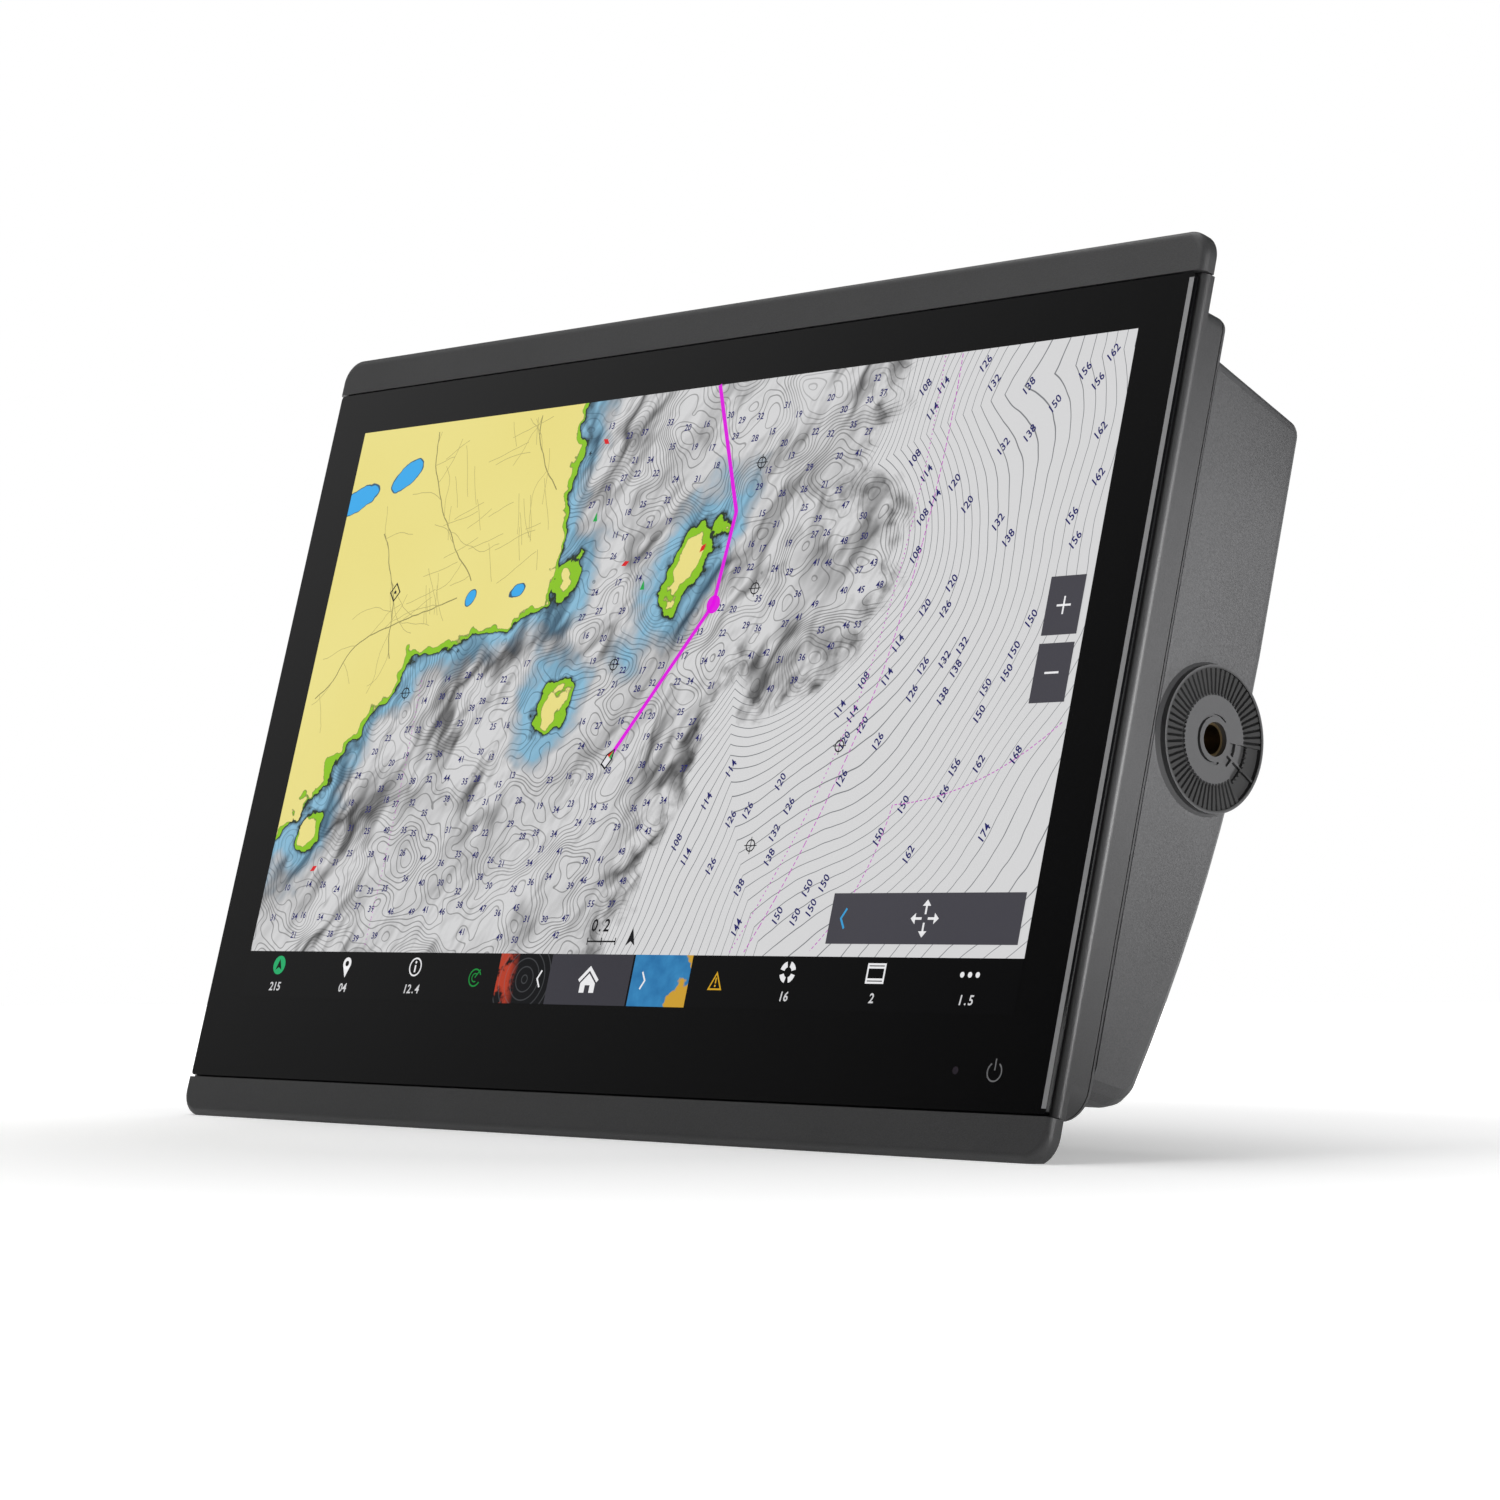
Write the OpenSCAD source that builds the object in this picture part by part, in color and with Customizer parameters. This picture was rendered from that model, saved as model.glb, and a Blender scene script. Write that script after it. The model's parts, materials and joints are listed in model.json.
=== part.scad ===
// Dash-mounted chartplotter display: touch screen in a flanged frame with a sealed rear housing.
// X runs to the right as seen by the user, Y runs from the user into the dash, Z runs up.
// The origin is the centre of the four flush-mount holes, on the flange's rear face.

/* [Front] */
// Width of the front flange
front_w = 385; // [380:1:395]
// Height over both trim caps
front_h = 261.3; // [258:0.1:264]
// Flange depth, from the glass face to the flange's rear face
front_t = 5.5; // [5.3:0.1:6.5]
// Width of the cover glass
glass_w = 380.5; // [376:0.1:382]
// Height of the cover glass
glass_h = 235.1; // [232:0.1:236]
// Thickness of the cover glass
glass_t = 1.8; // [1.5:0.1:2]
// Width of the lit screen area
screen_w = 345.4; // [340:0.1:347]
// Height of the lit screen area
screen_h = 194.3; // [190:0.1:196]
// Height of the screen's centre above the middle of the glass
screen_up = 5.8; // [4:0.1:7]

/* [Trim caps] */
// Gap between the glass and each trim cap
trim_gap = 0.6; // [0.4:0.1:1]
// Corner radius of the trim caps, seen from the front
trim_r = 8; // [6:0.5:9]
// Roundness of the trim caps' front edges
trim_edge = 2.5; // [1.5:0.1:2.7]
// Number of snap tabs on each trim cap
tab_count = 5; // [3:1:7]

/* [Housing] */
// Distance from the flange's side edge in to the housing's side wall
side_inset = 4.5; // [4:0.1:6]
// Height of the shoulder's top edge
shoulder_top = 111.4; // [110:0.1:112]
// Height of the shoulder's bottom edge
shoulder_bottom = -116; // [-117:0.1:-115]
// Depth at which the shoulder ends behind the flange
shoulder_y = 14; // [13:0.1:15]
// Depth at which the main body's flat back lies
back_y = 51.6; // [50:0.1:53]
// Depth of the raised panel that carries the heat sink
panel_y = 60; // [58:0.5:61]
// Radius of the curve from the flat back to the underside
belly_r = 455; // [420:5:500]
// Wall thickness of frame and housing
wall = 3; // [2.5:0.1:3.2]

/* [Bracket discs] */
// Depth of the discs' axis behind the flange
disc_y = 33.6; // [33:0.1:34]
// Height of the discs' axis
disc_z = -3.9; // [-5:0.1:-3]
// Radius of a disc's rim
disc_r = 20.4; // [20:0.1:21]
// How far a disc stands out of the housing
disc_t = 3; // [2.6:0.1:3.2]
// Number of locking teeth round a disc
tooth_count = 60; // [48:4:72]
// Radius of the thread that takes the bracket's knob
knob_r = 4; // [3:0.5:4]

/* [Mounting holes] */
// Distance between the flush-mount holes across the front
bolt_dx = 340; // [330:1:350]
// Distance between the flush-mount holes up the front
bolt_dz = 246.8; // [246:0.1:247]
// Radius of a flush-mount hole
bolt_r = 2.2; // [1.8:0.1:2.3]

/* [Hidden] */
$fn = 48;
// Slight overlap that makes two shapes one solid
eps = 0.05;
// Clearance between pieces that move apart
gap = 0.35;

// Front stack, from the glass towards the back
glass_y = -front_t;
tape_y = glass_y + glass_t;
tape_t = 0.3;
flange_y = tape_y + tape_t;
flange_edge = 2;
flange_h = glass_h + 2 * (trim_gap - gap);
sensor_w = screen_w + 8;
sensor_h = screen_h + 9;
lcd_w = screen_w + 7;
lcd_h = screen_h + 8;
window_w = lcd_w + 3;
window_h = lcd_h + 3;
lcd_y = tape_y + 0.6;
guide_y = lcd_y + 2.1;
guide_t = 3.5;
chassis_y = guide_y + guide_t + 0.1;

// Trim caps and the ear strips that they snap over
trim_z0 = glass_h / 2 + trim_gap;
trim_z1 = front_h / 2;
trim_back = -0.6;
trim_wall = 1.6;
ear_y = -3;
ear_z = trim_z1 - trim_wall - gap;
ear_w = front_w - 2 * (trim_wall + gap);
ear_r = 5;
tab_w = 8;
tab_t = 1.6;
tab_pitch = 70;
tab_z = (trim_z0 + trim_z1) / 2;

// Power key and light sensor, at the lower right of the glass
key_z = -106.8;
sensor_x = 154.9;
key_board_w = 34;
key_board_x = 163;

// Housing outline
side_x = front_w / 2 - side_inset;
top_r = 4.5;
bottom_r = 9;
seam_y = shoulder_y - 2.6;
seam_gap = 0.35;
rim_edge = 2.2;
body_front = 13;
body_top = 100;
body_slope = 6;
body_bottom = -109;
back_r = 5;
low_r = 10;
belly_z = 25;
slope_a = atan(body_slope / (back_y - shoulder_y));
belly_a = asin((belly_z - body_bottom - low_r) / (belly_r - low_r));
belly_cy = back_y - belly_r;
frame_post_r = 3;
frame_post_y = 5.2;
// Body seen from the side, clockwise from the upper front corner: slope, back, belly, underside
body_outline = concat(
  [[body_front, body_top, cos(90 - slope_a), sin(90 - slope_a), edge_at(body_top)]],
  arc(back_y - back_r, body_top - body_slope - back_r, back_r, 90 - slope_a, 0, 5),
  arc(belly_cy, belly_z, belly_r, 0, -belly_a, 10),
  arc(belly_cy + (belly_r - low_r) * cos(belly_a), body_bottom + low_r, low_r, -belly_a - 10, -90, 6),
  [[body_front, body_bottom, 0, -1, edge_at(body_bottom)]]
);

// Raised panel on the back and the recess for the heat sink
panel_top = 82;
panel_bottom = -66;
panel_x = 163;
panel_slope = 8;
sink_w = 244;
sink_h = 134;
sink_x = -33;
sink_z = 8;
sink_t = 4;
sink_screw_in = 3.5;
sink_holes = [for (sx = [-1, 0, 1], sz = [-1, 1])
  [sink_x + sx * (sink_w / 2 - sink_screw_in), sink_z + sz * (sink_h / 2 - sink_screw_in)]];
fin_y = 74 - front_t;
fin_t = 2.2;
fin_count = 22;
vent_x = 127;
vent_z = 62;
label_z = 30;
label_w = 50;
label_h = 28;

// Side discs and the threaded inserts in them
spigot_r = 9;
boss_r = 6.25;
ring_in = 12.7;
ring_out = 19.5;
insert_r = 5.6;
insert_len = 14;
// Height of the insert's end above the housing's side
insert_top = 1.4;
disc_screw_r = 1.1;
disc_screw_at = 15;
disc_screw_angles = [60, 180, 300];
rib_w = 0.8;

// Port bay
bay_w = 296;
bay_z0 = -100;
bay_z1 = -71;
bay_y = 19;
port_z = (bay_z0 + bay_z1) / 2;
port_board_y = 8;
port_y1 = 36;
nut_t = 3;
ring_t = 0.6;
// x, outer radius, number of contacts, radius of the contact circle
power_spec = [-128, 8, 4, 3.2];
sonar_specs = [[-96, 10, 12, 6], [-62, 10, 12, 6]];
network_specs = [[-28, 8.5, 8, 4.6], [4, 8.5, 8, 4.6]];
bus_spec = [36, 6, 5, 2.8];
video_spec = [68, 9, 10, 5.2];
usb_spec = [100, 7.5, 5, 3.8];
PORTS = concat([power_spec], sonar_specs, network_specs, [bus_spec, video_spec, usb_spec]);

// Boards and their flat leads
lead_t = 0.4;
board_y = 34;
board_t = 1.6;
main_w = 180;
main_h = 112;
main_x = -45;
main_z = 14;
power_w = 70;
power_h = 60;
power_x = 90;
power_z = 40;
screw_r = 1.25;
head_r = 2.4;

// Card bay and its door
card_x0 = 104;
card_x1 = 150;
card_z0 = -44;
card_z1 = -12;
card_floor = 44;
card_block_t = 8;
door_t = 2.4;
door_gap = 0.4;
door_lip = 3;
hinge_x = card_x1 + door_lip + 1.6;
hinge_y = panel_y - 0.9;
hinge_r = 1;
hinge_play = 0.05;
knuckle_r = 2;
card_mid = (card_x0 + card_x1) / 2;
card_zm = (card_z0 + card_z1) / 2;
// Height ranges of the housing's knuckles and of the door's
housing_knuckles = [[card_z0 - 2.4, card_z0 + 6], [card_z1 - 6, card_z1 + 2.4]];
door_knuckles = [[card_z0 + 6.4, card_z1 - 6.4]];

// Places of the housing screws along X
frame_screw_x = [-164, -84, 0, 84, 164];
frame_screw_z1 = shoulder_top - 5;
frame_screw_z0 = shoulder_bottom + 4.7;
boards_holes = concat(
  [for (sx = [-1, 1], sz = [-1, 1]) [main_x + sx * (main_w / 2 - 5), main_z + sz * (main_h / 2 - 5)]],
  [[main_x, main_z + main_h / 2 - 5], [main_x, main_z - main_h / 2 + 5]]
);

// ---------------------------------------------------------------- shared shapes

// Rectangle with round corners
module round_rect(w, h, r) {
  if (r <= 0) square([w, h], center = true);
  else {
    square([w, h - 2 * r], center = true);
    square([w - 2 * r, h], center = true);
    for (sx = [-1, 1], sy = [-1, 1])
      translate([sx * (w / 2 - r), sy * (h / 2 - r)]) circle(r);
  }
}

// Upright plate between two depths, with round corners seen from the front
module plate(w, h, r, y0, y1, x = 0, z = 0) {
  translate([x, y1, z]) rotate([90, 0, 0]) linear_extrude(y1 - y0) round_rect(w, h, r);
}

// Rod along Y between two depths
module rod(r, y0, y1, x, z) {
  translate([x, y1, z]) rotate([90, 0, 0]) cylinder(r = r, h = y1 - y0);
}

// Ring along Y
module ring(r, hole, y0, y1, x, z) {
  difference() {
    rod(r, y0, y1, x, z);
    rod(hole, y0 - 1, y1 + 1, x, z);
  }
}

// Screw along Y with its head at the rear and a round drive recess
module rear_screw(x, z, head, shank, tip_y, under_y, head_t) {
  difference() {
    union() {
      rod(head, under_y, under_y + head_t, x, z);
      rod(shank, tip_y, under_y + eps, x, z);
    }
    translate([x, under_y + head_t + 1, z]) rotate([90, 0, 0])
      cylinder(r = head / 2, h = 1 + head_t / 2, $fn = 6);
  }
}

// Shoulder outline, inset by d: small corners on top and large ones below
module shoulder_outline(d = 0) {
  x = side_x - d;
  z1 = shoulder_top - d;
  z0 = shoulder_bottom + d;
  rt = top_r - min(d, 3);
  rb = bottom_r - d;
  translate([-x, z0 + rb]) square([2 * x, z1 - z0 - rt - rb]);
  translate([-x + rt, z1 - rt - eps]) square([2 * (x - rt), rt + eps]);
  translate([-x + rb, z0]) square([2 * (x - rb), rb + eps]);
  for (s = [-1, 1]) {
    translate([s * (x - rt), z1 - rt]) circle(rt);
    translate([s * (x - rb), z0 + rb]) circle(rb);
  }
}

// Shoulder outline as a solid between two depths
module shoulder_slab(d, y0, y1) {
  translate([0, y1, 0]) rotate([90, 0, 0]) linear_extrude(y1 - y0) shoulder_outline(d);
}

// ---------------------------------------------------------------- display stack

module cover_glass() {
  color([0.02, 0.02, 0.022]) plate(glass_w, glass_h, 1.2, glass_y, tape_y);
}

// Space behind the glass for the power key board
module key_pocket(d, y0, y1) {
  plate(key_board_w + 2 * d, 9 + 2 * d, 0, y0, y1, key_board_x, key_z);
}

module glass_tape() {
  color([0.1, 0.1, 0.1]) difference() {
    plate(glass_w - 4, glass_h - 4, 2, tape_y, flange_y);
    plate(window_w + 1, window_h + 1, 0, tape_y - 1, flange_y + 1, 0, screen_up);
    key_pocket(0.6, tape_y - 1, flange_y + 1);
  }
}

module touch_sensor() {
  color([0.55, 0.6, 0.62]) plate(sensor_w, sensor_h, 0, tape_y, tape_y + 0.5, 0, screen_up);
}

module lcd_panel() {
  color([0.12, 0.13, 0.15]) plate(lcd_w, lcd_h, 0, lcd_y, lcd_y + 2, 0, screen_up);
}

module light_guide() {
  color([0.92, 0.94, 0.95]) plate(lcd_w - 3, lcd_h - 3, 0, guide_y, guide_y + guide_t, 0, screen_up);
}

// Folded tray behind the light guide, with stiffening ribs
module display_chassis() {
  color([0.72, 0.73, 0.74]) {
    difference() {
      plate(lcd_w, lcd_h, 0, lcd_y + 2 + eps, chassis_y + 0.8, 0, screen_up);
      plate(lcd_w - 2, lcd_h - 2, 0, lcd_y, chassis_y, 0, screen_up);
    }
    for (z = [-60, 0, 60])
      plate(lcd_w - 60, 5, 2.4, chassis_y + 0.8 - eps, chassis_y + 2, 0, screen_up + z);
  }
}

// Flat lead that drops from the chassis and rises to a board, width w at x
module flat_lead(x, w, z_start, z_end) {
  y0 = chassis_y + 0.8;
  y1 = board_y;
  fold_y = y1 - 8;
  translate([x - w / 2, 0, 0]) rotate([90, 0, 90]) linear_extrude(w)
    polygon([
      [y0, z_start], [y0, z_start - 12 - lead_t], [fold_y, z_end - 6 - lead_t], [y1, z_end - 6 - lead_t],
      [y1, z_end], [y1 - lead_t, z_end], [y1 - lead_t, z_end - 6], [fold_y, z_end - 6],
      [y0 + lead_t, z_start - 12], [y0 + lead_t, z_start]
    ]);
}

module display_lead() {
  color([0.75, 0.5, 0.2]) flat_lead(main_x + 20, 34, -20, -28);
}

module touch_lead() {
  color([0.8, 0.55, 0.25]) flat_lead(main_x - 60, 16, -22, -28);
}

// ---------------------------------------------------------------- frame and trim

// Section of the flange across X: round front edges at both sides
module flange_section() {
  w = front_w / 2;
  translate([-w, flange_y + flange_edge]) square([2 * w, -flange_y - flange_edge]);
  translate([-w + flange_edge, flange_y]) square([2 * (w - flange_edge), -flange_y]);
  for (s = [-1, 1]) translate([s * (w - flange_edge), flange_y + flange_edge]) circle(flange_edge);
}

module front_frame() {
  color([0.15, 0.15, 0.16]) difference() {
    union() {
      translate([0, 0, -flange_h / 2]) linear_extrude(flange_h) flange_section();
      plate(ear_w, 2 * ear_z, ear_r, ear_y, 0);
      difference() {
        shoulder_slab(0, -eps, seam_y);
        shoulder_slab(wall, -1, seam_y + 1);
      }
      for (x = frame_screw_x, z = [frame_screw_z1, frame_screw_z0])
        rod(frame_post_r, frame_post_y, seam_y, x, z);
    }
    plate(window_w, window_h, 0, flange_y - 1, 1, 0, screen_up);
    key_pocket(0.6, flange_y - 1, flange_y + 2);
    for (x = frame_screw_x, z = [frame_screw_z1, frame_screw_z0])
      rod(screw_r, frame_post_y + 1, seam_y + 1, x, z);
    for (sx = [-1, 1], sz = [-1, 1])
      rod(bolt_r, flange_y - 2, 1, sx * bolt_dx / 2, sz * bolt_dz / 2);
    for (i = [0 : tab_count - 1], s = [-1, 1])
      plate(tab_w + 1, tab_t + 1.2, 0, ear_y - 1, 1, tab_x(i), s * tab_z);
  }
}

// Place of snap tab i along the trim
function tab_x(i) = (i - (tab_count - 1) / 2) * tab_pitch;

// Upper trim cap: a shallow tray with round outer corners, open towards the dash and the glass
module trim_cap() {
  cx = front_w / 2 - trim_r;
  cz = trim_z1 - trim_r;
  difference() {
    hull() {
      for (s = [-1, 1]) {
        translate([s * cx, trim_back, cz]) rotate([90, 0, 0])
          cylinder(r = trim_r, h = trim_back - glass_y - trim_edge, $fn = 64);
        translate([s * cx, glass_y + trim_edge, cz]) rotate([90, 0, 0])
          rotate_extrude($fn = 64) translate([trim_r - trim_edge, 0]) circle(trim_edge, $fn = 32);
        translate([s * (front_w / 2 - trim_edge), glass_y + trim_edge, trim_z0])
          cylinder(r = trim_edge, h = 1, $fn = 32);
        translate([s * (front_w / 2 - trim_edge), trim_back - 1, trim_z0])
          translate([s > 0 ? 0 : -trim_edge, 0, 0]) cube([trim_edge, 1, 1]);
      }
    }
    translate([-front_w, glass_y - 1, trim_z0 - 20]) cube([2 * front_w, front_t + 2, 20]);
    plate(ear_w + 2 * gap, 2 * (ear_z + gap), ear_r + gap, ear_y - gap, 1);
  }
  for (i = [0 : tab_count - 1])
    plate(tab_w, tab_t, 0, ear_y - gap - eps, -0.3, tab_x(i), tab_z);
}

module trim_top() {
  color([0.2, 0.2, 0.21]) trim_cap();
}

module trim_bottom() {
  color([0.2, 0.2, 0.21]) mirror([0, 0, 1]) trim_cap();
}

module power_key_board() {
  color([0.05, 0.25, 0.15]) key_pocket(0, flange_y + 0.5, flange_y + 1.5);
}

module light_sensor() {
  color([0.3, 0.3, 0.32]) rod(0.9, tape_y, flange_y + 0.5, sensor_x, key_z);
}

module housing_seal() {
  color([0.08, 0.08, 0.08]) difference() {
    shoulder_slab(1, seam_y, seam_y + seam_gap);
    shoulder_slab(2.6, seam_y - 1, seam_y + seam_gap + 1);
  }
}

// ---------------------------------------------------------------- rear housing

// Stretch of the body's outline with its outward direction and edge radius: [y, z, ny, nz, edge]
function arc(y, z, r, a0, a1, n) = [for (i = [0 : n]) let (a = a0 + i * (a1 - a0) / n)
  [y + r * cos(a), z + r * sin(a), cos(a), sin(a), edge_at(z + r * sin(a))]];

// Radius of the body's side edges at height z: small on top, growing down the belly
function edge_at(z) = top_r - 0.5
  + (bottom_r - top_r) * min(1, max(0, (belly_z - z) / (belly_z - body_bottom)));

// Convex body with round edges along both sides
module body_solid() {
  points = [for (s = [-1, 1], p = body_outline, a = [0 : 22.5 : 90])
    let (inset = p[4] * (1 - cos(a)))
    [s * (side_x - p[4] * (1 - sin(a))), p[0] - p[2] * inset, p[1] - p[3] * inset]];
  hull() polyhedron(points = points, faces = [for (i = [2 : len(points) - 1]) [i - 2, i - 1, i]]);
}

// Hollow of the body, open towards the frame
module body_void() {
  reach = side_x - wall;
  points = concat(
    [[0, body_outline[0][1] - wall]],
    [for (p = body_outline) [p[0] - p[2] * wall, p[1] - p[3] * wall]],
    [[0, body_bottom + wall]]
  );
  translate([-reach, 0, 0]) rotate([90, 0, 90]) linear_extrude(2 * reach) polygon(points);
}

// Raised panel with sloping sides, reduced by d all round
module panel_solid(d) {
  w = panel_x - d;
  z1 = panel_top - d;
  z0 = panel_bottom + d;
  hull() {
    plate(2 * w, z1 - z0, 6, panel_y - d - 1, panel_y - d, 0, (z1 + z0) / 2, $fn = 24);
    plate(2 * (w + panel_slope), z1 - z0 + panel_slope, 8, 32, 33, 0, (z1 + z0) / 2, $fn = 24);
  }
}

// Rim of the shoulder with a round rear edge
module rim_solid() {
  y0 = seam_y + seam_gap;
  hull() for (a = [0 : 30 : 90])
    shoulder_slab(rim_edge * (1 - cos(a)), y0, shoulder_y - rim_edge * (1 - sin(a)), $fn = 32);
}

// Box of the port bay, grown by d
module bay_box(d) {
  translate([-bay_w / 2 - d, bay_y - d, bay_z0 - d]) cube([bay_w + 2 * d, 60, bay_z1 - bay_z0 + 2 * d]);
}

// Block round the card bay's mouth, standing past the raised panel by over
module card_block(over) {
  translate([card_x0 - 10, panel_y - card_block_t, card_z0 - 8])
    cube([card_x1 - card_x0 + 18, card_block_t + over, card_z1 - card_z0 + 16]);
}

// Box of the card bay, grown by d
module card_box(d) {
  translate([card_x0 - d, card_floor - d, card_z0 - d])
    cube([card_x1 - card_x0 + 2 * d, panel_y, card_z1 - card_z0 + 2 * d]);
}

// Recess for the card door and its hinge
module door_recess() {
  translate([card_x0 - door_lip, panel_y - door_t - 1, card_z0 - door_lip])
    cube([hinge_x - card_x0 + door_lip, 5, card_z1 - card_z0 + 2 * door_lip]);
  translate([hinge_x - eps, hinge_y - knuckle_r - 0.4, card_z0 - door_lip])
    cube([knuckle_r + 1.6, 5, card_z1 - card_z0 + 2 * door_lip]);
  translate([card_x0 - door_lip - 4, panel_y - door_t, (card_z0 + card_z1) / 2 - 7]) cube([5, 5, 14]);
}

// Everything hollow in the rear housing
module housing_void() {
  difference() {
    union() {
      body_void();
      panel_solid(wall);
    }
    translate([sink_x - sink_w / 2 - 8, panel_y - 7, sink_z - sink_h / 2 - 6])
      cube([sink_w + 16, 10, sink_h + 12]);
  }
}

module rear_housing() {
  color([0.3, 0.3, 0.31]) difference() {
    union() {
      body_solid();
      panel_solid(0);
      rim_solid();
    }
    housing_void();
    bay_box(wall);
    card_block(1);
    // Seat and opening for the heat sink
    plate(sink_w + 0.4, sink_h + 0.4, 4, panel_y - sink_t, panel_y + 9, sink_x, sink_z);
    plate(sink_w - 14, sink_h - 14, 4, panel_y - 20, panel_y + 9, sink_x, sink_z);
    for (p = sink_holes) rod(screw_r, panel_y - sink_t - 2.6, panel_y, p[0], p[1]);
    // Vent and label
    rod(4, panel_y - 10, panel_y + 1, vent_x, vent_z);
    rod(7, panel_y - 1.2, panel_y + 1, vent_x, vent_z);
    plate(label_w + 1, label_h + 1, 2, panel_y - 0.4, panel_y + 1, vent_x, label_z);
    // Screws that join the housing to the frame
    for (x = frame_screw_x, z = [frame_screw_z1, frame_screw_z0]) {
      rod(screw_r + 0.2, seam_y - 1, shoulder_y + 1, x, z);
      rod(2.2, shoulder_y - 1.2, shoulder_y + 1, x, z);
    }
    // Sockets of the side discs and their screws
    for (s = [-1, 1]) on_side(s) {
      translate([0, 0, -wall - 2]) cylinder(r = spigot_r, h = wall + 3);
      for (a = disc_screw_angles) rotate([0, 0, a]) translate([disc_screw_at, 0, -wall - 1])
        cylinder(r = disc_screw_r, h = wall + 2);
    }
  }
}

// Tray of the port bay: floor with the port holes, and walls that end flush with the housing's back
module port_bay() {
  color([0.3, 0.3, 0.31]) difference() {
    intersection() {
      bay_box(wall);
      union() {
        body_solid();
        panel_solid(0);
      }
    }
    bay_box(0);
    for (p = PORTS) rod(p[1] - 0.95, bay_y - wall - 1, bay_y + 1, p[0], port_z);
  }
}

// Frame of the card bay: floor, walls, seat of the door and its hinge knuckles
module card_bay() {
  color([0.3, 0.3, 0.31]) {
    difference() {
      union() {
        card_block(0);
        translate([card_x0 - 2, card_floor - 2, card_z0 - 2])
          cube([card_x1 - card_x0 + 4, panel_y - card_block_t - card_floor + 2 + eps, card_z1 - card_z0 + 4]);
      }
      card_box(0);
      door_recess();
    }
    card_door_knuckles(housing_knuckles, hinge_r);
  }
}

module housing_screws() {
  color([0.6, 0.6, 0.62])
    for (x = frame_screw_x, z = [frame_screw_z1, frame_screw_z0])
      rear_screw(x, z, 2, screw_r, frame_post_y + 1, shoulder_y - 1.2, 1);
}

// ---------------------------------------------------------------- side discs

// Annular sector between radii r0 and r1 and angles a0 and a1
module sector(r0, r1, a0, a1) {
  difference() {
    intersection() {
      circle(r1);
      polygon([[0, 0], for (i = [0 : 4]) let (a = a0 + i * (a1 - a0) / 4) 2 * r1 * [cos(a), sin(a)]]);
    }
    circle(r0);
  }
}

// Toothed disc on the housing's side, drawn with its axis up; y is towards the back of the unit
module disc() {
  face = disc_t;
  rim = face - 0.1;
  tooth_top = face - 0.5;
  centre = face - 0.3;
  pocket = face - 1.4;
  bore = knob_r + 0.75;
  seat = insert_r + 0.03;
  section = [
    [seat, -wall], [spigot_r, -wall], [spigot_r, 0], [disc_r + 0.8, 0], [disc_r, 1.2], [disc_r, rim],
    [ring_out, rim], [ring_out, tooth_top], [ring_in, tooth_top], [ring_in, centre], [boss_r, centre],
    [boss_r, face], [bore, face], [bore, insert_top], [seat, insert_top]
  ];
  difference() {
    rotate_extrude() polygon(section);
    // Notches between the teeth
    for (i = [0 : tooth_count - 1]) rotate([0, 0, i * 360 / tooth_count])
      translate([ring_in - 0.6, 0, tooth_top]) rotate([90, 0, 90])
        linear_extrude(ring_out - ring_in + 0.6) polygon([[-0.7, 0.7], [0.7, 0.7], [0, -0.8]]);
    // Groove round the boss, open only on the front side
    translate([0, 0, face - 1]) linear_extrude(3) sector(boss_r, boss_r + 0.7, 60, 300);
    // Fan-shaped pocket on the rear side, crossed by two curved ribs and a straight one
    translate([0, 0, pocket]) linear_extrude(3) difference() {
      sector(boss_r + 0.5, ring_out, -42, 8);
      sector(8.9, 9.7, -60, 20);
      sector(13.6, 14.4, -60, 20);
      rotate(-20) translate([0, -rib_w / 2]) square([ring_out + 1, rib_w]);
    }
    for (a = disc_screw_angles) rotate([0, 0, a]) translate([disc_screw_at, 0, -1])
      cylinder(r = disc_screw_r, h = 2);
  }
}

// Puts a disc-like piece on the right (s = 1) or left (s = -1) side, its y towards the back
module on_side(s) {
  translate([s * side_x, disc_y, disc_z]) mirror([s > 0 ? 0 : 1, 0, 0]) rotate([0, 90, 0]) rotate([0, 0, 90])
    children();
}

module disc_right() {
  color([0.17, 0.17, 0.18]) on_side(1) disc();
}

module disc_left() {
  color([0.17, 0.17, 0.18]) on_side(-1) disc();
}

module knob_insert() {
  difference() {
    union() {
      translate([0, 0, -insert_len]) cylinder(r = insert_r, h = insert_len + insert_top);
      translate([0, 0, -insert_len]) cylinder(r = insert_r + 1.5, h = 3);
    }
    translate([0, 0, -insert_len + 1]) cylinder(r = knob_r, h = insert_len + 2);
  }
}

module knob_insert_right() {
  color([0.6, 0.5, 0.25]) on_side(1) knob_insert();
}

module knob_insert_left() {
  color([0.6, 0.5, 0.25]) on_side(-1) knob_insert();
}

module disc_screws() {
  color([0.6, 0.6, 0.62]) for (s = [-1, 1]) on_side(s) for (a = disc_screw_angles)
    rotate([0, 0, a]) translate([disc_screw_at, 0, 0]) {
      translate([0, 0, -wall - 1.6]) cylinder(r = head_r, h = 1.6);
      translate([0, 0, -wall - eps]) cylinder(r = disc_screw_r, h = wall + eps + 1);
    }
}

// ---------------------------------------------------------------- heat sink and boards

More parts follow.
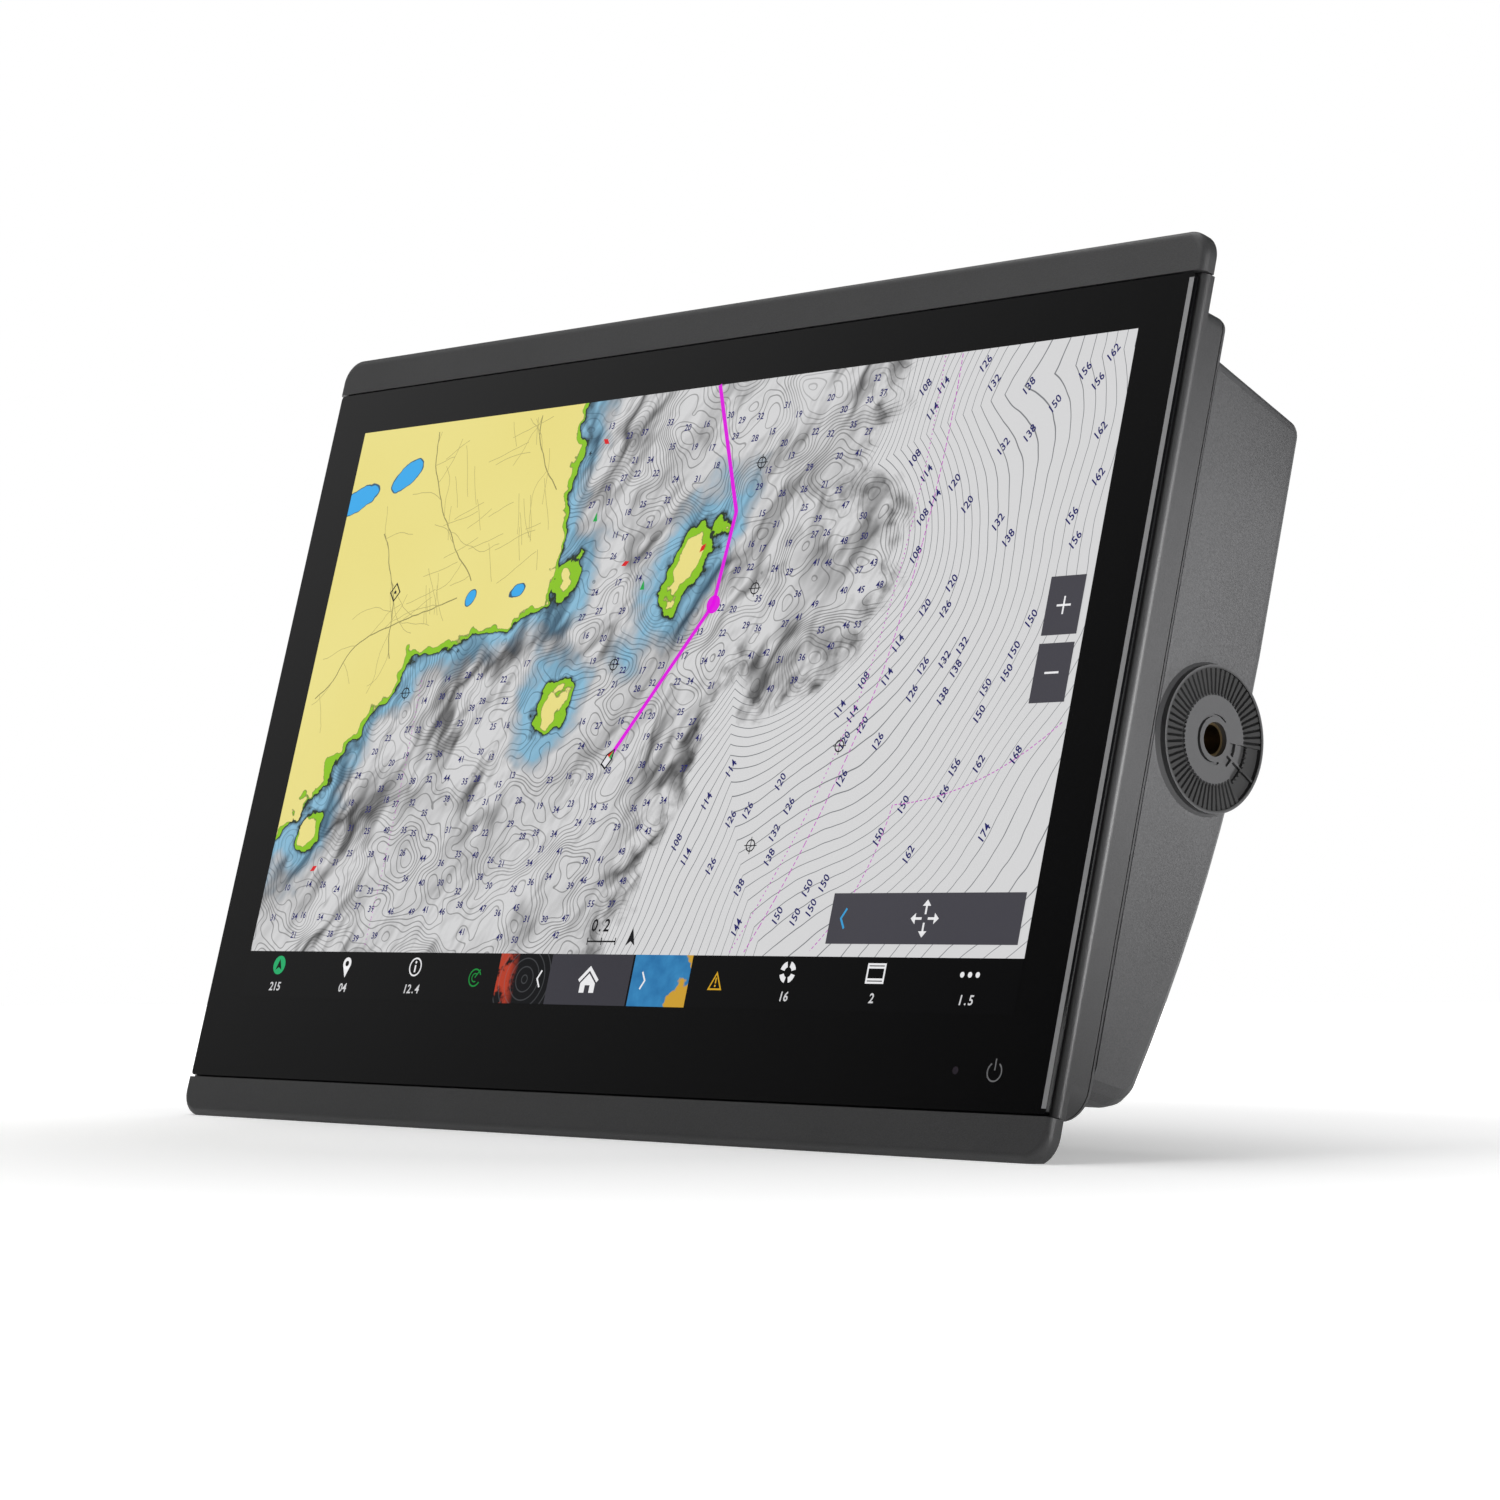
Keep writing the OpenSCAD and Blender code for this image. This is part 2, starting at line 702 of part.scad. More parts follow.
module heat_sink() {
  color([0.25, 0.25, 0.26]) difference() {
    union() {
      plate(sink_w, sink_h, 4, panel_y - sink_t, panel_y - 0.4, sink_x, sink_z);
      plate(sink_w - 14.8, sink_h - 14.8, 3.6, panel_y - 8, panel_y - 1, sink_x, sink_z);
      // Pedestal that reaches the processor
      plate(44, 44, 2, board_y + board_t + 4.1, panel_y - 7, main_x, main_z);
    }
    for (p = sink_holes) {
      rod(screw_r + 0.2, panel_y - sink_t - 1, panel_y + 1, p[0], p[1]);
      rod(head_r + 0.1, panel_y - 2, panel_y + 1, p[0], p[1]);
    }
    for (p = boards_holes) rod(screw_r, panel_y - 9, panel_y - 4, p[0], p[1]);
  }
}

// Fins bonded to the heat sink's base
module heat_sink_fins() {
  color([0.25, 0.25, 0.26]) for (i = [0 : fin_count - 1])
    plate(fin_t, sink_h - 16, 1, panel_y - 0.4, fin_y,
      sink_x + (i - (fin_count - 1) / 2) * (sink_w - 24) / (fin_count - 1), sink_z);
}

module heat_sink_screws() {
  color([0.6, 0.6, 0.62])
    for (p = sink_holes) rear_screw(p[0], p[1], head_r, screw_r, panel_y - sink_t - 2.5, panel_y - 2, 1.4);
}

// Board with a row of chips; w by h, centred on x and z
module board(w, h, x, z, holes) {
  difference() {
    plate(w, h, 2, board_y, board_y + board_t, x, z);
    for (p = holes) rod(screw_r + 0.15, board_y - 1, board_y + board_t + 1, p[0], p[1]);
  }
}

module main_board() {
  color([0.05, 0.3, 0.16]) {
    board(main_w, main_h, main_x, main_z, boards_holes);
    for (i = [-1, 1], j = [-1, 0, 1])
      plate(12, 16, 0.5, board_y + board_t - eps, board_y + board_t + 1.6, main_x + i * 42, main_z + j * 24);
    for (i = [0 : 7])
      plate(5, 5, 0.5, board_y - 1.8, board_y + eps, main_x - 63 + i * 18, main_z + 34);
  }
}

module processor_shield() {
  color([0.75, 0.75, 0.76]) difference() {
    plate(46, 46, 1, board_y + board_t, board_y + board_t + 3, main_x, main_z);
    plate(45, 45, 1, board_y, board_y + board_t + 2.6, main_x, main_z);
  }
}

module heat_pad() {
  color([0.55, 0.6, 0.75]) plate(40, 40, 1, board_y + board_t + 3, board_y + board_t + 4.1, main_x, main_z);
}

module power_board() {
  color([0.05, 0.22, 0.35]) {
    plate(power_w, power_h, 2, board_y, board_y + board_t, power_x, power_z);
    for (i = [-1, 0, 1])
      rod(4, board_y + board_t - eps, board_y + board_t + 9, power_x + i * 14, power_z - 14);
    plate(16, 16, 2, board_y + board_t - eps, board_y + board_t + 7, power_x - 18, power_z + 12);
    for (sz = [-1, 1])
      plate(8, 5, 1, board_y + board_t - eps, panel_y - wall, power_x + 26, power_z + sz * 22);
  }
}

module backup_cell() {
  color([0.8, 0.8, 0.78]) rod(6.2, board_y - 3.2, board_y, main_x + 70, main_z - 30);
}

module beeper() {
  color([0.1, 0.1, 0.1]) ring(7, 1.2, board_y - 6, board_y, power_x + 12, power_z + 10);
}

module board_standoffs() {
  color([0.7, 0.6, 0.3])
    for (p = boards_holes) difference() {
      rod(3, board_y + board_t, panel_y - 8, p[0], p[1]);
      rod(screw_r, board_y, panel_y - 7, p[0], p[1]);
    }
}

module board_screws() {
  color([0.65, 0.65, 0.66])
    for (p = boards_holes) {
      rod(head_r, board_y - 1.5, board_y, p[0], p[1]);
      rod(screw_r, board_y - eps, board_y + 10, p[0], p[1]);
    }
}

// Ceramic patch on its own board, facing up
module satellite_antenna() {
  color([0.75, 0.72, 0.62]) {
    translate([-70, 16, 82]) cube([34, 32, 1.2]);
    translate([-66, 19, 83.2 - eps]) cube([25, 25, 4]);
    translate([-70, 30, 78]) cube([6, 8, 4 + eps]);
  }
}

module wireless_antenna() {
  color([0.1, 0.35, 0.2]) {
    plate(44, 10, 1, 14, 15, 130, 82);
    plate(6, 5, 0.5, 15 - eps, 17, 130, 82);
  }
}

module pressure_vent() {
  color([0.08, 0.08, 0.08]) difference() {
    union() {
      rod(6.8, panel_y - 1.2, panel_y + 0.8, vent_x, vent_z);
      rod(3.9, panel_y - 6, panel_y - 1, vent_x, vent_z);
    }
    for (a = [0 : 60 : 300])
      rod(0.7, panel_y - 0.2, panel_y + 2, vent_x + 3.6 * cos(a), vent_z + 3.6 * sin(a));
  }
}

module rating_label() {
  color([0.85, 0.85, 0.86]) plate(label_w, label_h, 1.5, panel_y - 0.4, panel_y - 0.2, vent_x, label_z);
}

// ---------------------------------------------------------------- ports

module port_board() {
  color([0.05, 0.3, 0.16]) {
    plate(bay_w - 4, 24, 1, port_board_y, port_board_y + board_t, 0, port_z);
    plate(60, 6, 1, port_board_y + board_t - eps, port_board_y + board_t + 5, 30, port_z + 15);
  }
}

// Threaded shell of a port, open at the rear
module port_shell(spec) {
  difference() {
    union() {
      rod(spec[1] - 1, port_board_y + board_t, bay_y + ring_t + eps, spec[0], port_z);
      rod(spec[1] - 0.2, bay_y + ring_t, bay_y + ring_t + nut_t + eps, spec[0], port_z);
      rod(spec[1], bay_y + ring_t + nut_t, port_y1, spec[0], port_z);
    }
    rod(spec[1] - 1.6, port_y1 - 12, port_y1 + 1, spec[0], port_z);
    rod(spec[1] - 2.4, port_board_y, port_y1, spec[0], port_z);
    // Key slot at the top of the mouth
    translate([spec[0] - 0.8, port_y1 - 5, port_z + spec[1] - 3]) cube([1.6, 6, 2.2]);
  }
}

module power_port() {
  color([0.13, 0.13, 0.14]) port_shell(power_spec);
}

module sonar_ports() {
  color([0.13, 0.13, 0.14]) for (p = sonar_specs) port_shell(p);
}

module network_ports() {
  color([0.13, 0.13, 0.14]) for (p = network_specs) port_shell(p);
}

module data_bus_port() {
  color([0.7, 0.71, 0.72]) port_shell(bus_spec);
}

module video_port() {
  color([0.13, 0.13, 0.14]) port_shell(video_spec);
}

module usb_port() {
  color([0.13, 0.13, 0.14]) port_shell(usb_spec);
}

// Place of contact i of a port
function contact_at(spec, i) = let (a = i * 360 / spec[2] + 90)
  [spec[0] + spec[3] * cos(a), port_z + spec[3] * sin(a)];

module port_inserts() {
  color([0.06, 0.06, 0.06]) for (p = PORTS) difference() {
    rod(p[1] - 2.4, port_board_y + board_t, port_y1 - 12, p[0], port_z);
    for (i = [0 : p[2] - 1]) rod(0.5, port_board_y, port_y1, contact_at(p, i)[0], contact_at(p, i)[1]);
  }
}

module port_contacts() {
  color([0.85, 0.68, 0.3]) for (p = PORTS, i = [0 : p[2] - 1])
    rod(0.5, port_board_y + board_t, port_y1 - 7.5, contact_at(p, i)[0], contact_at(p, i)[1]);
}

module port_nuts() {
  color([0.12, 0.12, 0.13])
    for (p = PORTS) translate([p[0], bay_y + ring_t + nut_t, port_z]) rotate([90, 0, 0]) difference() {
      cylinder(r = p[1] + 2.6, h = nut_t, $fn = 6);
      translate([0, 0, -1]) cylinder(r = p[1] - 0.2, h = nut_t + 2);
    }
}

module port_rings() {
  color([0.7, 0.2, 0.1]) for (p = PORTS) ring(p[1] + 0.8, p[1] - 1, bay_y, bay_y + ring_t, p[0], port_z);
}

// Rubber cap over an unused port, with a plug that fills the socket and a pull tab
module weather_cap(spec) {
  r = spec[1];
  color([0.07, 0.07, 0.075]) difference() {
    union() {
      rod(r + 1.8, bay_y + ring_t + nut_t + 2, port_y1 + 2, spec[0], port_z);
      plate(6, 2 * r, 2.5, port_y1 + 1, port_y1 + 4.5, spec[0], port_z);
    }
    ring(r + gap, r - 1.6 - gap, bay_y, port_y1 + gap, spec[0], port_z);
    rod(r - 1, bay_y, port_y1 - 7, spec[0], port_z);
  }
}

module sonar_cap() {
  weather_cap(sonar_specs[1]);
}

module network_cap() {
  weather_cap(network_specs[1]);
}

module video_cap() {
  weather_cap(video_spec);
}

module usb_cap() {
  weather_cap(usb_spec);
}

// ---------------------------------------------------------------- card bay

// Upright knuckles of the door hinge, bored to radius r
module card_door_knuckles(spans, r) {
  for (z = spans) difference() {
    union() {
      translate([hinge_x, hinge_y, z[0]]) cylinder(r = knuckle_r, h = z[1] - z[0]);
      if (r == hinge_r)
        translate([hinge_x - 0.6, hinge_y - knuckle_r - 1, z[0]]) cube([1.2, knuckle_r, z[1] - z[0]]);
      else
        translate([hinge_x - 3.2, hinge_y - 1.2, z[0]]) cube([3, 1.9, z[1] - z[0]]);
    }
    translate([hinge_x, hinge_y, z[0] - 1]) cylinder(r = r, h = z[1] - z[0] + 2);
  }
}

module card_reader() {
  color([0.1, 0.1, 0.11]) for (s = [-1, 1]) difference() {
    translate([card_mid - 9 + s * 10, card_floor, card_zm - 10]) cube([18 - 2, 8, 20]);
    translate([card_mid - 9 + s * 10 + 2.2, card_floor + 1, card_zm - 3]) cube([11.6, 10, 1.4]);
  }
}

module card_door() {
  color([0.14, 0.14, 0.15]) {
    x0 = card_x0 - door_lip + door_gap;
    x1 = hinge_x - knuckle_r - door_gap - 0.1;
    z0 = card_z0 - door_lip + door_gap;
    z1 = card_z1 + door_lip - door_gap;
    difference() {
      translate([x0, panel_y - door_t, z0]) cube([x1 - x0, door_t, z1 - z0]);
      for (i = [-2 : 2]) translate([x0 + 3 + i + 2, panel_y - 0.4, card_zm - 5]) cube([0.5, 1, 10]);
    }
    card_door_knuckles(door_knuckles, hinge_r + hinge_play);
  }
}

module card_door_pin() {
  color([0.75, 0.75, 0.76])
    translate([hinge_x, hinge_y, card_z0 - 2.3]) cylinder(r = hinge_r, h = card_z1 - card_z0 + 4.6);
}

// Plate over the card bay's mouth, reaching past it by more / 2
module card_frame(more, r, y0, y1) {
  plate(card_x1 - card_x0 + more, card_z1 - card_z0 + more, r, y0, y1, card_mid, card_zm);
}

module card_door_seal() {
  color([0.08, 0.08, 0.08]) difference() {
    card_frame(3, 2, panel_y - door_t - 0.6, panel_y - door_t);
    card_frame(1, 1, panel_y - door_t - 2, panel_y);
  }
}

cover_glass();
glass_tape();
touch_sensor();
lcd_panel();
light_guide();
display_chassis();
display_lead();
touch_lead();
front_frame();
trim_top();
trim_bottom();
power_key_board();
light_sensor();
housing_seal();
rear_housing();
port_bay();
card_bay();
housing_screws();
disc_right();
disc_left();
knob_insert_right();
knob_insert_left();
disc_screws();
heat_sink();
heat_sink_fins();
heat_sink_screws();
main_board();
processor_shield();
heat_pad();
power_board();
backup_cell();
beeper();
board_standoffs();
board_screws();
satellite_antenna();
wireless_antenna();
pressure_vent();
rating_label();
port_board();
power_port();
sonar_ports();
network_ports();
data_bus_port();
video_port();
usb_port();
port_inserts();
port_contacts();
port_nuts();
port_rings();
sonar_cap();
network_cap();
video_cap();
usb_cap();
card_reader();
card_door();
card_door_pin();
card_door_seal();
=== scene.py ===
"""Looks of a flush-mounted chartplotter display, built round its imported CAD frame.

The right-handed row frame is X to the user's right, Y into the dash and Z up, in metres.
Lengths in this script are in millimetres where a value is multiplied by MM.
"""

import json
import math
import random

import bpy
from mathutils import Matrix, Vector

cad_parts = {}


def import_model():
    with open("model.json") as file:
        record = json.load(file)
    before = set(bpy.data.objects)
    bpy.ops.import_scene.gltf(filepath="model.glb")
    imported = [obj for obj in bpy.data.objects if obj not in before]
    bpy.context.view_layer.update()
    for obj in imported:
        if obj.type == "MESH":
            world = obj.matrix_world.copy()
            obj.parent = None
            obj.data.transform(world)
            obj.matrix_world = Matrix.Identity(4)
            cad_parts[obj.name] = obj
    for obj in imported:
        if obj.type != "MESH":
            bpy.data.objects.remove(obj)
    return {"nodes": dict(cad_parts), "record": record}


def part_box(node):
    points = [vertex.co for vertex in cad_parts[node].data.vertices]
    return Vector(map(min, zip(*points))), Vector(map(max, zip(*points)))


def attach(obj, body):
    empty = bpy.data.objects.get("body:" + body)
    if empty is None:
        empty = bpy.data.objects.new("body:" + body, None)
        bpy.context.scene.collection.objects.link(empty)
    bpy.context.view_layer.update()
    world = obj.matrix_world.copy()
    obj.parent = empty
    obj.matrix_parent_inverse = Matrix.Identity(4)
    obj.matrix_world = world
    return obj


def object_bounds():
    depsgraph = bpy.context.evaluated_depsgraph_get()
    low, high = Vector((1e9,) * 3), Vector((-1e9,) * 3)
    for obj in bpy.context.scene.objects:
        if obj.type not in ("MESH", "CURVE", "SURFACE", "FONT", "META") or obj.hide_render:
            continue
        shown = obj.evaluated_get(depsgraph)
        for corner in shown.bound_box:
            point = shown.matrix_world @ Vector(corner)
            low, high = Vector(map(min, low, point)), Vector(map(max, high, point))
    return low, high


MM = 0.001

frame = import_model()
cad_low, cad_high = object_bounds()

# ---------------------------------------------------------------- places taken from the frame

GLASS_LOW, GLASS_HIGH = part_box("cover_glass")
LCD_LOW, LCD_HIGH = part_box("lcd_panel")
# The panel's rim that the lit area stays inside, at its sides and at its top and bottom
LCD_RIM_X, LCD_RIM_Z = 3.5 * MM, 4 * MM
SCREEN_W = (LCD_HIGH.x - LCD_LOW.x - 2 * LCD_RIM_X) / MM
SCREEN_H = (LCD_HIGH.z - LCD_LOW.z - 2 * LCD_RIM_Z) / MM
SCREEN_X = (LCD_LOW.x + LCD_HIGH.x) / 2
SCREEN_Z = (LCD_LOW.z + LCD_HIGH.z) / 2
# How far in from its box the flat front of the glass ends
EDGE_BEVEL = 0.1
# Each layer of the picture lies this much in front of the one below it
LAYER = 0.03 * MM

HALF_W, HALF_H = SCREEN_W / 2, SCREEN_H / 2
MENU_H = 15.5
MENU_TOP = -HALF_H + MENU_H

# ---------------------------------------------------------------- numbers and shader graphs


class Num:
    """One value in a shader graph, which can be reckoned with like a plain number."""

    def __init__(self, tree, socket):
        self.tree = tree
        self.socket = socket

    def do(self, operation, *others):
        node = self.tree.nodes.new("ShaderNodeMath")
        node.operation = operation
        for slot, value in zip(node.inputs, (self, *others)):
            if isinstance(value, Num):
                self.tree.links.new(value.socket, slot)
            else:
                slot.default_value = value
        return Num(self.tree, node.outputs[0])

    def __add__(self, other):
        return self.do("ADD", other)

    __radd__ = __add__

    def __sub__(self, other):
        return self.do("SUBTRACT", other)

    def __rsub__(self, other):
        return (self * -1) + other

    def __mul__(self, other):
        return self.do("MULTIPLY", other)

    __rmul__ = __mul__

    def __truediv__(self, other):
        return self.do("DIVIDE", other)

    def __neg__(self):
        return self * -1

    def __pow__(self, other):
        return self.do("POWER", other)

    def __abs__(self):
        return self.do("ABSOLUTE")

    def clamped(self):
        node = self.tree.nodes.new("ShaderNodeClamp")
        self.tree.links.new(self.socket, node.inputs["Value"])
        return Num(self.tree, node.outputs[0])

    def step(self, start, end):
        """0 up to start, 1 from end, straight between."""
        return ((self - start) / (end - start)).clamped()

    def fraction(self):
        return self.do("FRACT")


def most(a, b):
    return a.do("MAXIMUM", b) if isinstance(a, Num) else max(a, b)


def least(a, b):
    return a.do("MINIMUM", b) if isinstance(a, Num) else min(a, b)


def root(a):
    return a.do("SQRT") if isinstance(a, Num) else math.sqrt(a)


class Shader:
    """A Principled material and what feeds it."""

    def __init__(self, name):
        self.material = bpy.data.materials.new(name)
        self.material.use_nodes = True
        self.tree = self.material.node_tree
        self.bsdf = self.tree.nodes["Principled BSDF"]
        coordinates = self.tree.nodes.new("ShaderNodeTexCoord")
        self.place = coordinates.outputs["Object"]

    def set(self, socket, value):
        target = self.bsdf.inputs[socket]
        if isinstance(value, Num):
            value = value.socket
        if isinstance(value, bpy.types.NodeSocket):
            self.tree.links.new(value, target)
        else:
            target.default_value = value

    def axes(self):
        """The place in millimetres along X, Y and Z."""
        node = self.tree.nodes.new("ShaderNodeSeparateXYZ")
        self.tree.links.new(self.place, node.inputs[0])
        return [Num(self.tree, out) / MM for out in node.outputs]

    def vector(self, x, y, z):
        node = self.tree.nodes.new("ShaderNodeCombineXYZ")
        for slot, value in zip(node.inputs, (x, y, z)):
            if isinstance(value, Num):
                self.tree.links.new(value.socket, slot)
            else:
                slot.default_value = value
        return node.outputs[0]

    def scaled(self, stretch):
        """The place in millimetres, divided by stretch along each axis."""
        node = self.tree.nodes.new("ShaderNodeVectorMath")
        node.operation = "MULTIPLY"
        self.tree.links.new(self.place, node.inputs[0])
        node.inputs[1].default_value = [1 / (MM * s) for s in stretch]
        return node.outputs[0]

    def noise(self, vector, scale, detail=3.0, kind="FBM", rough=0.5):
        node = self.tree.nodes.new("ShaderNodeTexNoise")
        node.noise_type = kind
        self.tree.links.new(vector, node.inputs["Vector"])
        node.inputs["Scale"].default_value = scale
        node.inputs["Detail"].default_value = detail
        node.inputs["Roughness"].default_value = rough
        return Num(self.tree, node.outputs[0])

    def cells(self, vector, scale, feature="DISTANCE_TO_EDGE"):
        node = self.tree.nodes.new("ShaderNodeTexVoronoi")
        node.feature = feature
        self.tree.links.new(vector, node.inputs["Vector"])
        node.inputs["Scale"].default_value = scale
        return Num(self.tree, node.outputs["Distance"])

    def mix(self, factor, a, b):
        """Colour a where factor is 0, and b where it is 1."""
        node = self.tree.nodes.new("ShaderNodeMix")
        node.data_type = "RGBA"
        colours = [slot for slot in node.inputs if slot.type == "RGBA"]
        self.tree.links.new(factor.socket, node.inputs["Factor"])
        for slot, colour in zip(colours, (a, b)):
            if isinstance(colour, bpy.types.NodeSocket):
                self.tree.links.new(colour, slot)
            else:
                slot.default_value = (*colour, 1)
        return next(out for out in node.outputs if out.type == "RGBA")

    def bump(self, height, depth_mm, strength=1.0):
        node = self.tree.nodes.new("ShaderNodeBump")
        node.inputs["Strength"].default_value = strength
        node.inputs["Distance"].default_value = depth_mm * MM
        self.tree.links.new(height.socket, node.inputs["Height"])
        self.tree.links.new(node.outputs[0], self.bsdf.inputs["Normal"])


def shade(colour, factor):
    return tuple(min(1.0, c * factor) for c in colour)


def linear(*levels):
    """Linear light from screen levels of 0 to 255."""
    return tuple((v / 255 / 12.92) if v <= 10 else ((v / 255 + 0.055) / 1.055) ** 2.4 for v in levels)


# ---------------------------------------------------------------- materials of the real surfaces


def surface(name, colour, rough, metal=0.0, grain=0.4, depth=0.01, mottle=0.25, stretch=(1, 1, 1)):
    """Moulded, cast or sheet surface: grain of the given size in mm, and a broad drift in tone."""
    s = Shader(name)
    place = s.scaled(stretch)
    fine = s.noise(place, 1 / grain, 2.0)
    broad = s.noise(place, 1 / 28, 3.0)
    tone = (fine * 0.7 + broad * 0.3).step(0.3, 0.7)
    s.set("Base Color", s.mix(tone, shade(colour, 1 - mottle), shade(colour, 1 + mottle)))
    s.set("Roughness", rough - 0.05 + fine * 0.1)
    s.set("Metallic", metal)
    s.bump(fine, depth)
    return s.material


def glass_black():
    """Cover glass with black print behind it: deep black, with faint dust and wiped streaks."""
    s = Shader("cover_glass")
    streaks = s.noise(s.scaled((9, 9, 30)), 1.0, 2.0)
    dust = s.noise(s.scaled((1, 1, 1)), 1 / 0.25, 1.0)
    s.set("Base Color", s.mix(dust.step(0.66, 0.75), linear(7, 7, 8), linear(17, 17, 18)))
    s.set("Roughness", streaks.step(0.35, 0.75) * 0.03 + 0.045)
    s.set("IOR", 1.5)
    return s.material


def board(name, mask, copper):
    """Circuit board: solder mask, tracks and rows of small pads."""
    s = Shader(name)
    x, _, z = s.axes()
    flow = s.noise(s.scaled((1, 1, 1)), 1 / 14, 0.0)
    tracks = abs((x / 1.6 + flow * 9).fraction() - 0.5).step(0.3, 0.36)
    crossing = abs((z / 1.9 + flow * 7).fraction() - 0.5).step(0.33, 0.38)
    turn = s.noise(s.scaled((1, 1, 1)), 1 / 9, 0.0).step(0.49, 0.51)
    lines = tracks * turn + crossing * (1 - turn)
    pads = s.cells(s.scaled((1, 1, 1)), 1 / 2.6, "F1").step(0.24, 0.2)
    green = s.mix(lines, mask, shade(mask, 1.8))
    s.set("Base Color", s.mix(pads, green, copper))
    s.set("Roughness", 0.35)
    s.bump(lines * 0.5 + pads * 0.5, 0.03)
    return s.material


def brushed(name, colour, rough, grain=0.25):
    """Metal with a drawn grain along Z."""
    return surface(name, colour, rough, 1.0, grain, 0.004, 0.1, (1, 1, 14))


def label_print():
    """Silver label with blank ruled fields and a border, and nothing written in them."""
    s = Shader("label")
    low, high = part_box("rating_label")
    x, _, z = s.axes()
    x = x - (low.x + high.x) / 2 / MM
    z = z - (low.z + high.z) / 2 / MM
    half_w = (high.x - low.x) / 2 / MM
    half_h = (high.z - low.z) / 2 / MM
    edge = most(abs(x) - (half_w - 2.4), abs(z) - (half_h - 2.4))
    border = edge.step(-0.25, -0.15) * edge.step(0.25, 0.15)
    rules = abs((z / 4.8).fraction() - 0.5).step(0.46, 0.48) * edge.step(-1.6, -1.7)
    grain = s.noise(s.scaled((1, 1, 1)), 1 / 0.5, 2.0)
    silver = s.mix(grain, linear(176, 177, 180), linear(200, 201, 204))
    s.set("Base Color", s.mix((border + rules).clamped(), silver, linear(40, 40, 44)))
    s.set("Roughness", 0.42)
    s.set("Metallic", 0.25)
    s.bump(grain, 0.004)
    return s.material


def cast(name, colour):
    """Painted die casting: orange-peel paint over a fine sand grain."""
    s = Shader(name)
    peel = s.noise(s.scaled((1, 1, 1)), 1 / 1.1, 3.0)
    sand = s.noise(s.scaled((1, 1, 1)), 1 / 0.3, 2.0)
    s.set("Base Color", s.mix(sand, shade(colour, 0.75), shade(colour, 1.25)))
    s.set("Roughness", peel * 0.15 + 0.42)
    s.bump(peel * 0.6 + sand * 0.4, 0.03)
    return s.material


def textured_plastic(name, colour, rough, cell, depth):
    """Moulded plastic with a spark-eroded texture: round pits of the given size in mm."""
    s = Shader(name)
    pits = s.cells(s.scaled((1, 1, 1)), 1 / cell, "SMOOTH_F1")
    fine = s.noise(s.scaled((1, 1, 1)), 1 / (0.6 * cell), 2.0)
    broad = s.noise(s.scaled((1, 1, 1)), 1 / 40, 2.0)
    tone = (fine * 0.75 + broad * 0.25).step(0.32, 0.68)
    s.set("Base Color", s.mix(tone, shade(colour, 0.72), shade(colour, 1.3)))
    s.set("Roughness", rough - 0.06 + fine * 0.12)
    s.bump(pits * 0.5 + fine * 0.5, depth)
    return s.material


def toothed_plastic(name, colour):
    """Smooth plastic of the discs, with painted shade: the ring of teeth is far darker than the hub, for the
    shade between deep teeth.
    """
    s = Shader(name)
    low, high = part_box("disc_right")
    _, y, z = s.axes()
    y = y - (low.y + high.y) / 2 / MM
    z = z - (low.z + high.z) / 2 / MM
    reach = (high.z - low.z) / 2 / MM
    out = root(y * y + z * z) / reach
    # Painted shade: the ring of teeth is darkened, standing in for the shade between the teeth
    ring = out.step(0.57, 0.6) * out.step(0.95, 0.92)
    fine = s.noise(s.scaled((1, 1, 1)), 1 / 0.3, 2.0)
    plain = s.mix(fine, shade(colour, 0.8), shade(colour, 1.2))
    s.set("Base Color", s.mix(ring, plain, shade(colour, 0.16)))
    s.set("Roughness", 0.42 + fine * 0.1)
    s.bump(fine, 0.015)
    return s.material


